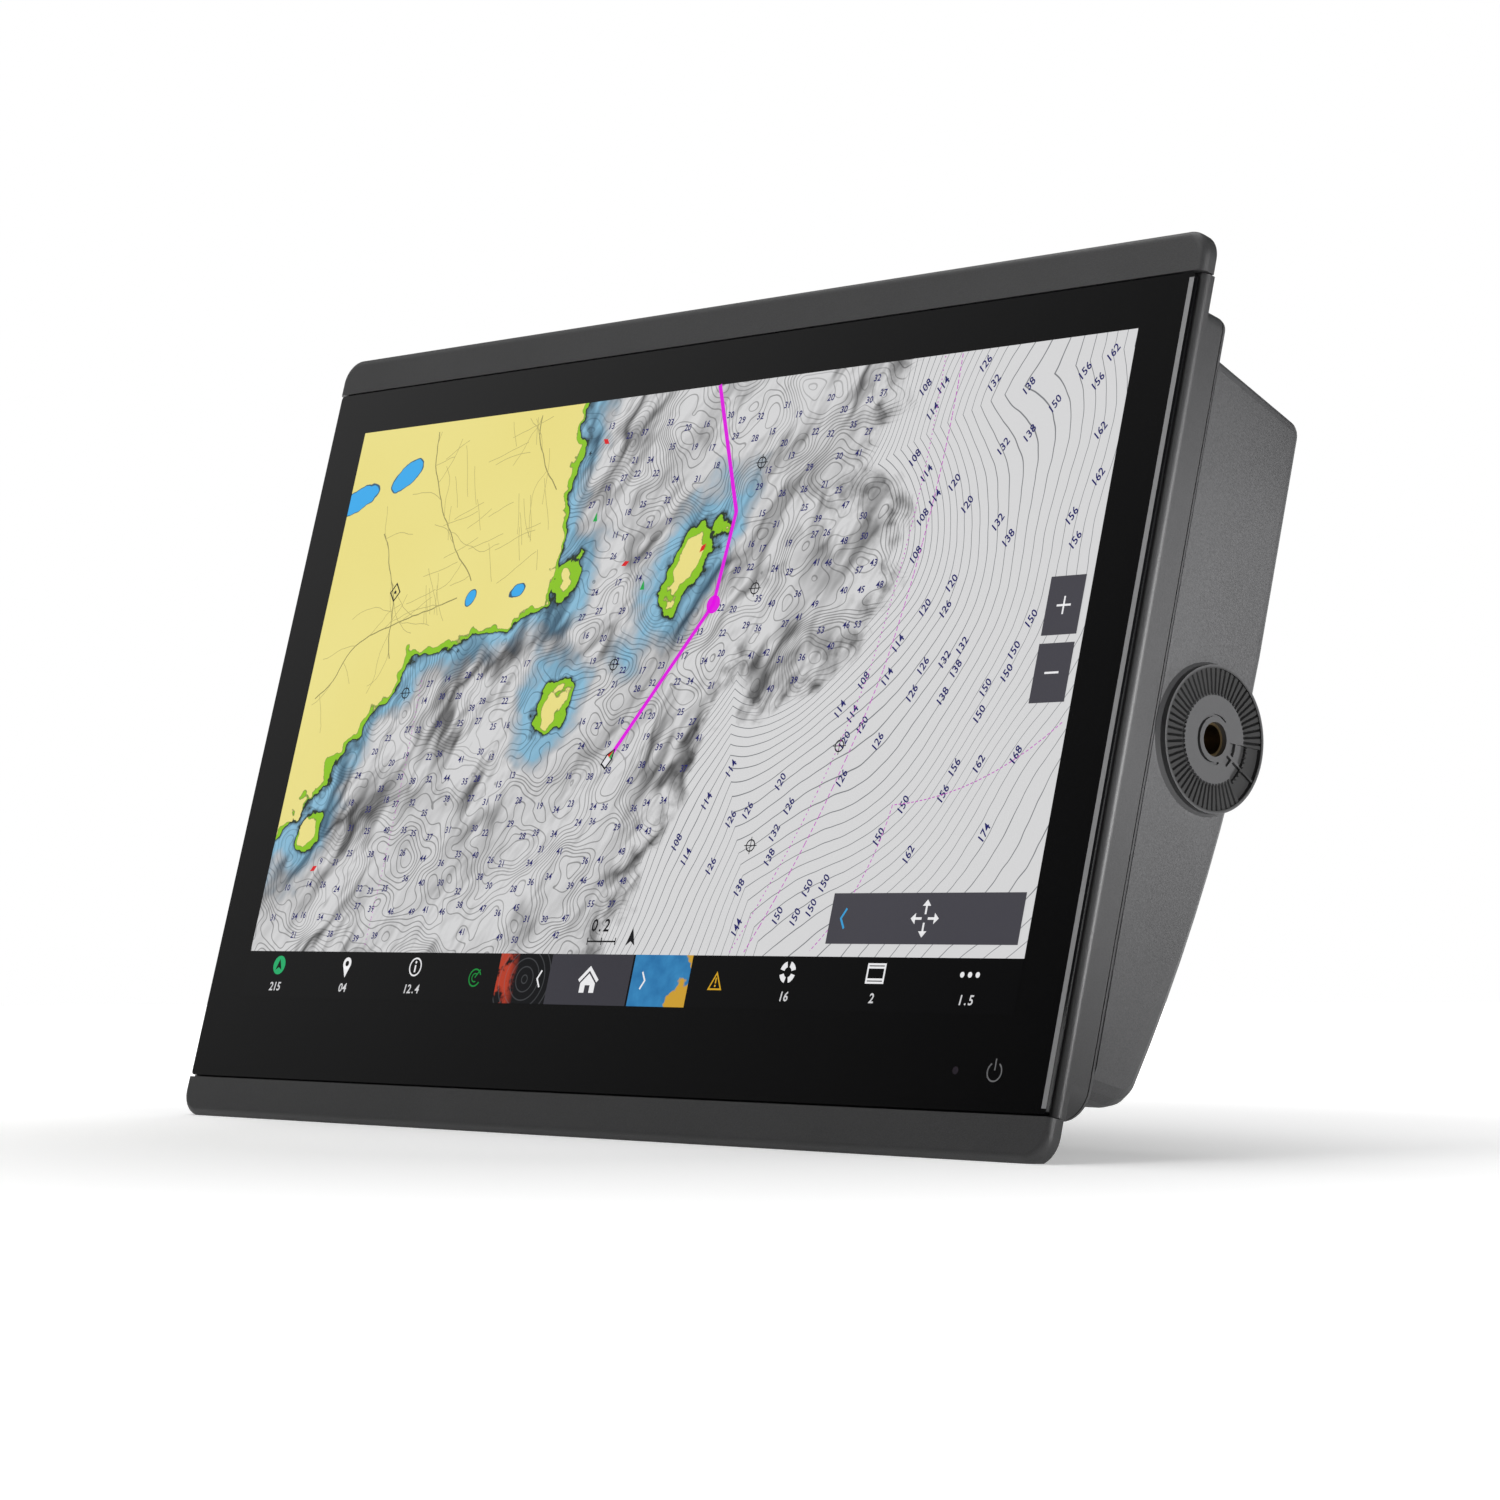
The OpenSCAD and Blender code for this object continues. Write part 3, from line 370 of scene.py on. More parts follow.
def slot_materials():
    """One material for each of the record's slots."""
    plastic = linear(56, 56, 57)
    return {
        "cover_glass": glass_black(),
        "rubber_black": surface("rubber_black", linear(28, 28, 29), 0.75, grain=0.6, depth=0.02),
        "rubber_red": surface("rubber_red", linear(150, 48, 34), 0.7, grain=0.6, depth=0.02),
        "film": surface("film", linear(120, 124, 130), 0.15, grain=1.4, depth=0.002, mottle=0.1),
        "lcd": surface("lcd", linear(24, 24, 30), 0.2, grain=0.3, depth=0.002),
        "light_guide": surface("light_guide", linear(225, 228, 232), 0.3, grain=0.9, depth=0.02),
        "steel": brushed("steel", linear(168, 168, 170), 0.32),
        "flex": surface("flex", linear(168, 98, 36), 0.4, grain=0.5, depth=0.01, stretch=(1, 9, 9)),
        "frame_plastic": textured_plastic("frame_plastic", shade(plastic, 0.75), 0.5, 0.5, 0.04),
        "trim_plastic": textured_plastic("trim_plastic", shade(plastic, 0.85), 0.5, 0.45, 0.04),
        "housing_plastic": textured_plastic("housing_plastic", plastic, 0.5, 0.7, 0.08),
        "disc_plastic": toothed_plastic("disc_plastic", shade(plastic, 0.85)),
        "circuit_board": board("circuit_board", linear(16, 84, 52), linear(196, 160, 84)),
        "circuit_board_blue": board("circuit_board_blue", linear(20, 62, 104), linear(196, 160, 84)),
        "sensor": surface("sensor", linear(70, 40, 52), 0.2, grain=0.3, depth=0.002),
        # The insert's colour is darkened: painted shade standing in for the shadow in its bore
        "insert_metal": brushed("insert_metal", linear(96, 82, 58), 0.35),
        "sink_metal": cast("sink_metal", linear(58, 59, 61)),
        "tin": brushed("tin", linear(190, 191, 192), 0.38, 0.5),
        "heat_pad": surface("heat_pad", linear(138, 152, 176), 0.85, grain=0.7, depth=0.03),
        "part_plastic": surface("part_plastic", linear(34, 34, 36), 0.45, grain=0.35, depth=0.01),
        "ceramic": surface("ceramic", linear(196, 188, 164), 0.55, grain=0.5, depth=0.01, mottle=0.12),
        "label": label_print(),
        "port_plastic": surface("port_plastic", linear(30, 30, 32), 0.42, grain=0.3, depth=0.01),
        "nickel": brushed("nickel", linear(186, 184, 178), 0.22),
        "gold": brushed("gold", linear(214, 170, 88), 0.25),
    }


MATERIALS = slot_materials()


def dress_nodes():
    """Gives every CAD node the material of its slot."""
    for part in frame["record"]["subparts"]:
        piece = frame["nodes"].get(part["node"])
        if piece is None:
            continue
        piece.data.materials.clear()
        piece.data.materials.append(MATERIALS[part["material_slot"]])


# ---------------------------------------------------------------- flat shapes on the glass


class Flat:
    """Shapes drawn on the glass, in mm from the screen's centre, that become one thin mesh."""

    def __init__(self):
        self.points = []
        self.faces = []

    def polygon(self, points):
        start = len(self.points)
        self.points += points
        self.faces.append(range(start, start + len(points)))
        return self

    def rect(self, x0, z0, x1, z1):
        return self.polygon([(x0, z0), (x1, z0), (x1, z1), (x0, z1)])

    def disc(self, x, z, r, sides=28):
        turn = 2 * math.pi / sides
        return self.polygon([(x + r * math.cos(i * turn), z + r * math.sin(i * turn)) for i in range(sides)])

    def ring(self, x, z, inner, outer, start=0, end=360, sides=36):
        """Arc of a ring from start to end degrees, anticlockwise from the right."""
        count = max(2, round(sides * abs(end - start) / 360))
        angles = [math.radians(start + (end - start) * i / count) for i in range(count + 1)]
        for a, b in zip(angles, angles[1:]):
            corners = ((inner, a), (outer, a), (outer, b), (inner, b))
            self.polygon([(x + r * math.cos(t), z + r * math.sin(t)) for r, t in corners])
        return self

    def stroke(self, points, width, closed=False):
        """Line of the given width through the points, with mitred corners."""
        if closed:
            points = [points[-1], *points, points[0]]
        sides = []
        for i, point in enumerate(points):
            before = Vector(points[max(i - 1, 0)])
            after = Vector(points[min(i + 1, len(points) - 1)])
            here = Vector(point)
            came = (here - before).normalized() if i else (after - here).normalized()
            goes = (after - here).normalized() if i < len(points) - 1 else came
            along = (came + goes).normalized() if (came + goes).length > 0.1 else came
            across = Vector((-along.y, along.x))
            reach = width / 2 / max(0.5, along.dot(came))
            sides.append((here + across * reach, here - across * reach))
        if closed:
            sides = sides[1:-1] + [sides[1]]
        for (a, b), (c, d) in zip(sides, sides[1:]):
            self.polygon([tuple(a), tuple(b), tuple(d), tuple(c)])
        return self

    def number(self, text, x, z, height, angle=0.0):
        """Digits centred on x and z, turned by angle degrees."""
        step = 0.68 * height
        turn = Matrix.Rotation(math.radians(angle), 2)
        for i, sign in enumerate(text):
            points, faces = GLYPHS[sign]
            shift = (i - (len(text) - 1) / 2) * step
            start = len(self.points)
            for p in points:
                q = turn @ Vector((p.x * height + shift, (p.y - 0.36) * height))
                self.points.append((x + q.x, z + q.y))
            self.faces += [[start + k for k in face] for face in faces]
        return self

    def piece(self, name, material, layer, slot="lcd"):
        """Makes the mesh in the given layer in front of the glass."""
        mesh = bpy.data.meshes.new(name)
        y = GLASS_LOW.y - layer * LAYER
        places = [(SCREEN_X + x * MM, y, SCREEN_Z + z * MM) for x, z in self.points]
        mesh.from_pydata(places, [], [list(face) for face in self.faces])
        mesh.materials.append(material)
        mesh.update()
        obj = bpy.data.objects.new(name, mesh)
        bpy.context.scene.collection.objects.link(obj)
        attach(obj, "root")
        return obj


def glyph_shapes():
    """Filled outlines of the digits and the point, one em high, leaning a little."""
    shapes = {}
    for sign in "0123456789.":
        curve = bpy.data.curves.new("glyph", "FONT")
        curve.body = sign
        curve.size = 1.35
        curve.shear = 0.12
        curve.resolution_u = 2
        curve.align_x = "CENTER"
        curve.offset = 0.022
        holder = bpy.data.objects.new("glyph", curve)
        mesh = bpy.data.meshes.new_from_object(holder)
        points = [v.co.xy for v in mesh.vertices]
        shapes[sign] = ([p.copy() for p in points], [list(f.vertices) for f in mesh.polygons])
        bpy.data.objects.remove(holder)
        bpy.data.meshes.remove(mesh)
        bpy.data.curves.remove(curve)
    return shapes


GLYPHS = glyph_shapes()

# ---------------------------------------------------------------- the chart on the screen

# How strongly the lit screen shines, and how much of its colour it also reflects
GLOW, SHEEN = 0.85, 0.15
LIT_ROUGH = 0.06


def shine(s, colour):
    """Makes a shader a part of the lit picture, seen through glass."""
    s.set("Base Color", s.mix(Num(s.tree, colour).do("MULTIPLY", 0.0) + SHEEN, (0, 0, 0), colour))
    s.set("Emission Color", colour)
    s.set("Emission Strength", GLOW)
    s.set("Roughness", LIT_ROUGH)
    s.set("IOR", 1.5)


def lit(name, colour, spread=0.06):
    """A patch of the picture in one hue, with the screen's slight unevenness and pixel grain."""
    s = Shader(name)
    drift = s.noise(s.scaled((1, 1, 1)), 1 / 60, 1.0)
    pixels = s.noise(s.scaled((1, 1, 1)), 1 / 0.3, 0.0)
    tone = (drift * 0.6 + pixels * 0.4).step(0.3, 0.7)
    shine(s, s.mix(tone, shade(colour, 1 - spread), shade(colour, 1 + spread)))
    return s.material


def oval(x, z, cx, cz, a, b, angle):
    """Rough distance in from the edge of an oval with half axes a and b, turned by angle degrees."""
    c, s = math.cos(math.radians(angle)), math.sin(math.radians(angle))
    u = ((x - cx) * c + (z - cz) * s) / a
    v = ((z - cz) * c - (x - cx) * s) / b
    return (1 - root(u * u + v * v)) * min(a, b)


def land(x, z):
    """Distance in from the shore, in mm on the screen; negative at sea."""
    south = most((z - 27 - (x + 58) * 0.18) / 1.02, (z - 14 - (x + 120) * 1.15) / 1.52)
    shore = most(least(-56 - x, south), oval(x, z, -52, 38, 9, 6, 60))
    isles = most(oval(x, z, 5, 40, 17, 8, 58), oval(x, z, -46, -4, 9, 7, 80))
    return most(shore, most(isles, oval(x, z, -157, -43, 6, 3.5, 40)))


def lakes(x, z):
    """Distance in from the edge of a lake."""
    north = most(oval(x, z, -144, 80, 8, 4, 30), oval(x, z, -168, 73, 10, 4, 20))
    south = most(oval(x, z, -97, 35, 3, 2, 60), oval(x, z, -74, 36, 4, 2, 20))
    return most(north, south)


def past_edge(x, z):
    """Distance out past the foot of the rocky ground, towards deep water."""
    bulge = oval(x, z, 62, 28, 38, 30, 60)
    north = oval(x, z, 56, 78, 42, 24, 60)
    return -most(most((18 - x) * 0.9 + (z + 40) * 0.42, bulge), north)


def chart_material():
    """Chart picture: yellow land with a green shore, blue shallows, rocky relief and deep water."""
    s = Shader("chart")
    x, _, z = s.axes()
    x = x - SCREEN_X / MM
    z = z - SCREEN_Z / MM
    flat = s.vector(x, z, 0.0)

    def wander(size, amount, detail=2.0):
        return (s.noise(flat, 1 / size, detail) - 0.5) * (2 * amount)

    ragged = wander(16, 9) + wander(3.5, 2.0, 3.0)
    shore = land(x, z) + ragged
    away = past_edge(x, z) + wander(22, 14) + wander(5, 3.5, 3.0)

    def ground(dx, dz):
        """Height of the sea floor a little to one side."""
        px, pz = x + dx, z + dz
        along = px * 0.5 + pz * 0.866
        across = px * 0.866 - pz * 0.5
        swell = s.noise(s.vector(along / 1.6, across, 3.0), 1 / 38, 1.0)
        rock = s.noise(s.vector(along / 2.2, across, 7.0), 1 / 13, 3.0, rough=0.5)
        return swell * 3.4 + rock * 1.5

    side = 0.8
    here = ground(0, 0)
    slope_x = ground(side, 0) - here
    slope_z = ground(0, side) - here
    rocky = s.noise(s.vector(x, z, 11.0), 1 / 34, 2.0).step(0.38, 0.62)
    relief = (0.92 + (slope_x * 2.6 - slope_z * 3.4) * (rocky + 0.3)).clamped()
    cracks = s.noise(s.vector((x * 0.5 + z * 0.866) / 2.6, x * 0.866 - z * 0.5, 5.0), 1 / 24, 3.0)
    cracks = abs(cracks - 0.5).step(0.05, 0.005) * rocky
    foot = abs(away + 4).step(7, 0) * s.noise(flat, 1 / 7, 3.0).step(0.42, 0.62)
    relief = relief * (1 - cracks * 0.8) * (1 - foot * 0.75)

    def depth(dx, dz):
        """Smoothed depth, in contour steps, a little to one side."""
        spot = s.vector((x + dx) / 1.2, z + dz, 17.0)
        return s.noise(spot, 1 / 30, 2.0, rough=0.4) * 42

    levels = depth(0, 0)
    fall_x = depth(side, 0) - levels
    fall_z = depth(0, side) - levels
    fall = root(fall_x * fall_x + fall_z * fall_z) / side
    contour = (abs(levels.fraction() - 0.5) / (fall + 0.02)).step(0.26, 0.12)
    relief = relief * (1 - contour * (1 - rocky * 0.4) * 0.55)

    calm = past_edge(x, z) + wander(55, 12, 0.0)
    open_water = (calm + 14).do("MAXIMUM", 0.5)
    phase = (open_water ** 0.62) * 2.1
    bend = wander(60, 0.6, 0.0) + wander(9, 0.12, 1.0)
    ticks = (phase + bend).fraction()
    line_w = (open_water ** -0.38) * 0.2
    deep_line = (abs(ticks - 0.5) / line_w).step(1.0, 0.45)
    deep = s.mix(deep_line, linear(218, 218, 219), linear(120, 122, 126))
    grey = s.mix(relief, linear(22, 22, 24), linear(216, 216, 217))
    sea = s.mix(away.step(-1, 3), grey, deep)

    shallow = (shore + wander(26, 9)).step(-11, -4)
    tint = s.mix(shallow * relief, linear(44, 74, 96), linear(120, 184, 216))
    sea = s.mix(shallow * 0.85, sea, tint)
    rim = shore.step(-1.6, -0.4) * 0.7
    sea = s.mix(rim, sea, linear(36, 52, 62))

    inland = shore + wander(14, 6)
    dry = inland.step(2.6, 2.8)
    ground_tone = s.noise(flat, 1 / 70, 1.0)
    yellow = s.mix(ground_tone, linear(234, 220, 126), linear(240, 229, 146))
    coast = s.mix(dry, linear(140, 198, 34), yellow)
    shore_line = abs(shore).step(0.4, 0.22)
    fringe_line = abs(inland - 2.7).step(0.24, 0.12) * 0.6
    coast = s.mix(fringe_line, coast, linear(96, 110, 60))
    water = (lakes(x, z) + wander(6, 1.2)).step(-0.1, 0.1)
    coast = s.mix(water, coast, linear(58, 172, 238))
    lake_line = abs(lakes(x, z) + wander(6, 1.2)).step(0.22, 0.1)
    coast = s.mix(lake_line, coast, linear(52, 92, 120))
    picture = s.mix(shore.step(-0.1, 0.1), sea, coast)
    picture = s.mix(shore_line, picture, linear(40, 52, 40))
    shine(s, picture)
    return s.material


def chart_picture():
    """The map itself, above the menu bar."""
    shape = Flat()
    columns, rows = 12, 6
    for i in range(columns):
        for j in range(rows):
            x0 = -HALF_W + SCREEN_W * i / columns
            x1 = -HALF_W + SCREEN_W * (i + 1) / columns
            z0 = MENU_TOP + (HALF_H - MENU_TOP) * j / rows
            z1 = MENU_TOP + (HALF_H - MENU_TOP) * (j + 1) / rows
            shape.rect(x0, z0, x1, z1)
    shape.piece("chart_picture", chart_material(), 1)


def on_map(x, z, margin=2.0):
    """True inside the map and clear of the buttons over it."""
    inside = abs(x) < HALF_W - margin and MENU_TOP + margin < z < HALF_H - margin
    under_wide = x > 93 and z < -60
    under_zoom = x > 154 and -14 < z < 30
    under_scale = -12 < x < 20 and z < -69
    return inside and not (under_wide or under_zoom or under_scale)


def roads():
    """Streets and lanes on the land: wandering lines that turn back from the shore."""
    rng = random.Random(5)
    streets, lanes = Flat(), Flat()

    def walk(x, z, heading, steps, turn, shape, width):
        points = [(x, z)]
        for _ in range(steps):
            heading += rng.uniform(-turn, turn)
            x += 2.4 * math.cos(heading)
            z += 2.4 * math.sin(heading)
            if land(x, z) < 9 or not on_map(x, z) or lakes(x, z) > -3:
                break
            points.append((x, z))
        if len(points) > 2:
            shape.stroke(points, width)
        return points

    trunk = []
    for x, z, heading in ((-80, 95, -1.65), (-150, 60, -0.9), (-168, 4, 0.55), (-132, 94, -1.2)):
        trunk += walk(x, z, heading, 60, 0.22, streets, 0.42)
    for x, z in trunk[::3]:
        walk(x, z, rng.uniform(-3.1, 3.1), rng.randint(4, 12), 0.35, lanes, 0.22)
    for _ in range(46):
        x, z = rng.uniform(-120, -62), rng.uniform(28, 92)
        square = rng.choice((0, 1, 2, 3)) * math.pi / 2 + 0.35
        walk(x, z, square, rng.randint(3, 8), 0.12, lanes, 0.22)
    streets.piece("chart_streets", lit("chart_streets", linear(150, 142, 88), 0.1), 2)
    lanes.piece("chart_lanes", lit("chart_lanes", linear(186, 176, 112), 0.1), 3)


def soundings():
    """Depth figures: upright over the rocky ground, along the contours in deep water."""
    rng = random.Random(12)
    figures = Flat()
    step = 8.6
    for row in range(-11, 12):
        for column in range(-20, 21):
            x = (column + (row % 2) / 2) * step + rng.uniform(-2.6, 2.6)
            z = row * step + rng.uniform(-2.6, 2.6)
            sea, away = -land(x, z), past_edge(x, z)
            if not on_map(x, z, 4) or sea < 9 or away > -3:
                continue
            depth = 9 + 0.55 * sea + rng.uniform(-6, 16)
            figures.number(str(int(depth)), x, z, 2.2)
    spread = 7.5
    for row in range(-12, 13):
        for column in range(0, 24):
            x = column * spread + row * 2.0 + rng.uniform(-1.5, 1.5)
            z = row * 7.8 + column * 1.7 + rng.uniform(-2.0, 2.0)
            away = past_edge(x, z)
            if not on_map(x, z, 4) or away < 6 or rng.random() > 0.3:
                continue
            depth = 102 + 6 * round(away / 7)
            figures.number(str(depth), x, z, 2.7, 62 - 0.1 * z)
    figures.piece("chart_soundings", lit("chart_soundings", linear(34, 34, 104), 0.08), 4)


def dotted(shape, points, dash, gap, width):
    """Dashes along the line through the points."""
    for (x0, z0), (x1, z1) in zip(points, points[1:]):
        length = math.hypot(x1 - x0, z1 - z0)
        ux, uz = (x1 - x0) / length, (z1 - z0) / length
        at = 0.0
        while at < length:
            end = min(at + dash, length)
            shape.stroke([(x0 + ux * at, z0 + uz * at), (x0 + ux * end, z0 + uz * end)], width)
            at += dash + gap


def arc_points(x0, z0, x1, z1, bulge, count=10):
    """Points of a shallow arc between two places, bowed to its left by bulge."""
    dx, dz = x1 - x0, z1 - z0
    length = math.hypot(dx, dz)
    points = []
    for i in range(count + 1):
        t = i / count
        out = 4 * bulge * t * (1 - t)
        points.append((x0 + dx * t - dz / length * out, z0 + dz * t + dx / length * out))
    return points


def boundaries():
    """Thin dotted limits of areas and a traffic lane."""
    shape = Flat()
    top, foot = HALF_H - 0.5, MENU_TOP + 1
    east = arc_points(106, top, 98, 2, 3) + arc_points(98, 2, 63, foot, 3)[1:]
    west = arc_points(99, top, 92, 0, 3) + arc_points(92, 0, 57, foot, 3)[1:]
    lane = arc_points(171, -16, 112, -38, 5) + arc_points(112, -38, 90, -80, 4)[1:]
    dotted(shape, east, 1.3, 0.7, 0.34)
    dotted(shape, west, 0.5, 0.9, 0.34)
    dotted(shape, lane, 1.0, 0.6, 0.3)
    dotted(shape, arc_points(-113, 8, -113, MENU_TOP + 2, 1), 0.5, 1.1, 0.28)
    shape.piece("chart_limits", lit("chart_limits", linear(196, 96, 196), 0.08), 5)


# Turning points of the plotted course, from its far end to the boat
COURSE = [(3, HALF_H), (22, 55), (20, 26), (-12, -19)]


def course():
    """Plotted course with a waypoint, and the boat at its end."""
    line = Flat().stroke(COURSE, 1.5)
    line.disc(*COURSE[2], 2.9)
    line.piece("chart_course", lit("chart_course", linear(226, 22, 226), 0.05), 6)
    x, z = COURSE[-1]
    turn = Matrix.Rotation(math.radians(-36), 2)

    def hull(points):
        return [tuple(turn @ Vector(p) + Vector((x - 1.5, z - 2.0))) for p in points]

    dark = Flat().polygon(hull([(-1.5, -3.2), (1.5, -3.2), (1.7, 0.6), (0, 4.0), (-1.7, 0.6)]))
    dark.piece("chart_boat_rim", lit("chart_boat_rim", linear(30, 30, 34)), 7)
    pale = Flat().polygon(hull([(-1.0, -2.6), (1.0, -2.6), (1.1, 0.5), (0, 3.0), (-1.1, 0.5)]))
    pale.piece("chart_boat", lit("chart_boat", linear(225, 225, 228)), 8)
    red = Flat().polygon(hull([(-1.1, 0.5), (0, 0.5), (0, 3.0)]))
    red.piece("chart_boat_port", lit("chart_boat_port", linear(214, 40, 34)), 9)
    green = Flat().polygon(hull([(0, 0.5), (1.1, 0.5), (0, 3.0)]))
    green.piece("chart_boat_starboard", lit("chart_boat_starboard", linear(40, 170, 70)), 9)


def sea_marks():
    """Buoys, lights and rocks as small plain signs."""
    rng = random.Random(3)
    dark, red, green = Flat(), Flat(), Flat()
    for x, z, turn in ((9, 43, 50), (-26, 41, 20), (-47, 84, -30), (-150, -55, 30)):
        foot = Vector((x, z))
        along = Vector((math.cos(math.radians(turn)), math.sin(math.radians(turn))))
        tip = foot + along * 3.6
        middle = foot + along * 1.8
        side = Vector((-along.y, along.x)) * 0.9
        red.polygon([tuple(point) for point in (foot, middle - side, tip, middle + side)])
    for x, z in ((-14, 34), (-43, 58)):
        green.polygon([(x - 1, z - 1.4), (x + 1, z - 1.4), (x, z + 1.6)])
    for x, z in ((37, 30), (86, -20), (57, -49), (-120, 4), (-20, 9), (29, 70)):
        dark.ring(x, z, 1.5, 1.9)
        dark.rect(x - 2.6, z - 0.14, x + 2.6, z + 0.14)
        dark.rect(x - 0.14, z - 2.6, x + 0.14, z + 2.6)
    dark.stroke([(-139.4, 39), (-137, 42), (-134.6, 39), (-137, 36)], 0.5, closed=True)
    dark.disc(-137, 39, 0.6)
    for _ in range(44):
        x, z = rng.uniform(-150, 70), rng.uniform(-70, 90)
        if on_map(x, z, 4) and -9 < land(x, z) < -2:
            for a in (0, 60, 120):
                c, s = math.cos(math.radians(a)), math.sin(math.radians(a))
                dark.stroke([(x - c * 0.8, z - s * 0.8), (x + c * 0.8, z + s * 0.8)], 0.22)
    dark.piece("chart_signs", lit("chart_signs", linear(26, 26, 32)), 5)
    red.piece("chart_lights", lit("chart_lights", linear(216, 32, 36)), 6)
    green.piece("chart_buoys", lit("chart_buoys", linear(34, 168, 74)), 6)


def scale_and_north():
    """Scale bar and north arrow at the foot of the map."""
    shape = Flat()
    shape.rect(-6, -78.0, 6.5, -77.5)
    for x in (-6, 0.25, 6.5):
        shape.rect(x - 0.2, -78.8, x + 0.2, -76.6)
    shape.number("0.2", -1.5, -73.2, 4.0)
    shape.polygon([(13.4, -73.4), (11.4, -79.0), (13.4, -77.6)])
    shape.polygon([(13.4, -73.4), (15.4, -79.0), (13.4, -77.6)])
    shape.piece("chart_scale", lit("chart_scale", linear(22, 22, 26)), 6)


# ---------------------------------------------------------------- buttons and menu

WHITE = linear(240, 240, 242)
BUTTON = linear(72, 71, 78)


def zoom_buttons():
    """Two square buttons, one above the other, and the wide one below them."""
    buttons, signs = Flat(), Flat()
    for z, tall in ((17.6, 17), (-1.7, 17)):
        buttons.rect(157.3, z - tall / 2, 170.4, z + tall / 2)
        signs.rect(161.2, z - 0.3, 166.4, z + 0.3)
    signs.rect(163.5, 17.6 - 2.6, 164.1, 17.6 + 2.6)
    buttons.rect(95.8, -78.0, 169.6, -63.4)
    x, z = 133, -70.7
    for a in range(4):
        c, s = round(math.cos(a * math.pi / 2)), round(math.sin(a * math.pi / 2))
        signs.stroke([(x + c * 1.2, z + s * 1.2), (x + c * 4.0, z + s * 4.0)], 0.7)
        signs.polygon(
            [
                (x + c * 5.4, z + s * 5.4),
                (x + c * 3.6 - s * 1.6, z + s * 3.6 + c * 1.6),
                (x + c * 3.6 + s * 1.6, z + s * 3.6 - c * 1.6),
            ]
        )
    buttons.piece("screen_buttons", lit("screen_buttons", BUTTON), 9)
    signs.piece("screen_button_signs", lit("screen_button_signs", WHITE), 10)
    chevron = Flat().stroke([(102.0, -67.8), (100.2, -70.7), (102.0, -73.6)], 0.7)
    chevron.piece("screen_chevron", lit("screen_chevron", linear(64, 160, 216)), 10)


def menu_bar():
    """Black bar of icons under the map, with plain figures as their captions."""
    bar = Flat().rect(-HALF_W, -HALF_H, HALF_W, MENU_TOP)
    bar.piece("menu_bar", lit("menu_bar", linear(6, 6, 7)), 2)
    home = Flat().rect(-20.4, -HALF_H, 16.2, MENU_TOP)
    home.piece("menu_home_tile", lit("menu_home_tile", linear(60, 59, 66)), 3)
    white, green, dial, amber, captions = Flat(), Flat(), Flat(), Flat(), Flat()
    top, middle = -86.3, -89.4
    # Heading lock: a green ring round an arrowhead
    green.disc(-155.4, top, 3.1)
    # Place mark
    white.ring(-119.9, top + 0.8, 0.9, 2.0)
    white.polygon([(-121.6, top - 0.2), (-118.2, top - 0.2), (-119.9, top - 3.8)])
    # Facts: a ring round a dot and a bar
    white.ring(-85.1, top, 2.5, 3.0)
    white.rect(-85.45, top - 1.7, -84.75, top + 0.6)
    white.disc(-85.1, top + 1.5, 0.42)
    # Dial
    dial.ring(-55.1, middle, 2.4, 2.9, 20, 330)
    dial.ring(-55.1, middle, 1.1, 1.5, 60, 300)
    dial.stroke([(-55.1, middle), (-53.0, middle + 2.6)], 0.45)
    # House
    roof = [(-4.6, 0.0), (0.0, 4.2), (4.6, 0.0), (3.8, -0.8), (0.0, 2.7), (-3.8, -0.8)]
    walls = [(-3.3, -1.1), (0.0, 1.9), (3.3, -1.1), (3.3, -4.0), (1.1, -4.0)]
    walls += [(1.1, -1.7), (-1.1, -1.7), (-1.1, -4.0), (-3.3, -4.0)]
    for outline in (roof, walls):
        white.polygon([(x - 2.1, z + middle) for x, z in outline])
    # Warning
    amber.stroke([(51.0, middle - 2.2), (56.2, middle - 2.2), (53.6, middle + 2.6)], 0.5, closed=True)
    amber.rect(53.35, middle - 0.5, 53.85, middle + 1.2)
    amber.disc(53.6, middle - 1.2, 0.35)
    # Lifebuoy
    for start in (15, 105, 195, 285):
        white.ring(82.7, top, 1.5, 3.2, start, start + 60)
    # Window
    pane = [(114.6, top - 2.6), (121.2, top - 2.6), (121.2, top + 2.6), (114.6, top + 2.6)]
    white.stroke(pane, 0.6, closed=True)
    white.rect(114.6, top + 1.4, 121.2, top + 2.0)
    white.rect(114.6, top - 2.0, 121.2, top - 1.4)
    # Three dots
    for x in (151.0, 153.9, 156.8):
        white.disc(x, top, 0.8)
    # Arrows to the next pictures
    white.stroke([(-24.0, middle + 2.6), (-25.6, middle), (-24.0, middle - 2.6)], 0.6)
    white.stroke([(21.4, middle + 2.6), (23.0, middle), (21.4, middle - 2.6)], 0.6)
    left = ((-155.4, "215"), (-119.9, "04"), (-85.1, "12.4"))
    right = ((82.7, "16"), (117.9, "2"), (153.9, "1.5"))
    for x, text in left + right:
        captions.number(text, x, -93.6, 2.9)
    white.piece("menu_icons", lit("menu_icons", WHITE), 4)
    green.piece("menu_green_icon", lit("menu_green_icon", linear(36, 172, 106)), 4)
    dial.piece("menu_dial", lit("menu_dial", linear(26, 136, 58)), 4)
    amber.piece("menu_amber_icon", lit("menu_amber_icon", linear(214, 166, 36)), 4)
    captions.piece("menu_captions", lit("menu_captions", linear(214, 214, 216)), 4)
    head = [(0.0, 2.0), (-1.6, -1.6), (0.0, -0.7), (1.6, -1.6)]
    arrow = Flat().polygon([(x - 155.4, z + top) for x, z in head])
    arrow.piece("menu_arrow", lit("menu_arrow", linear(8, 10, 9)), 5)


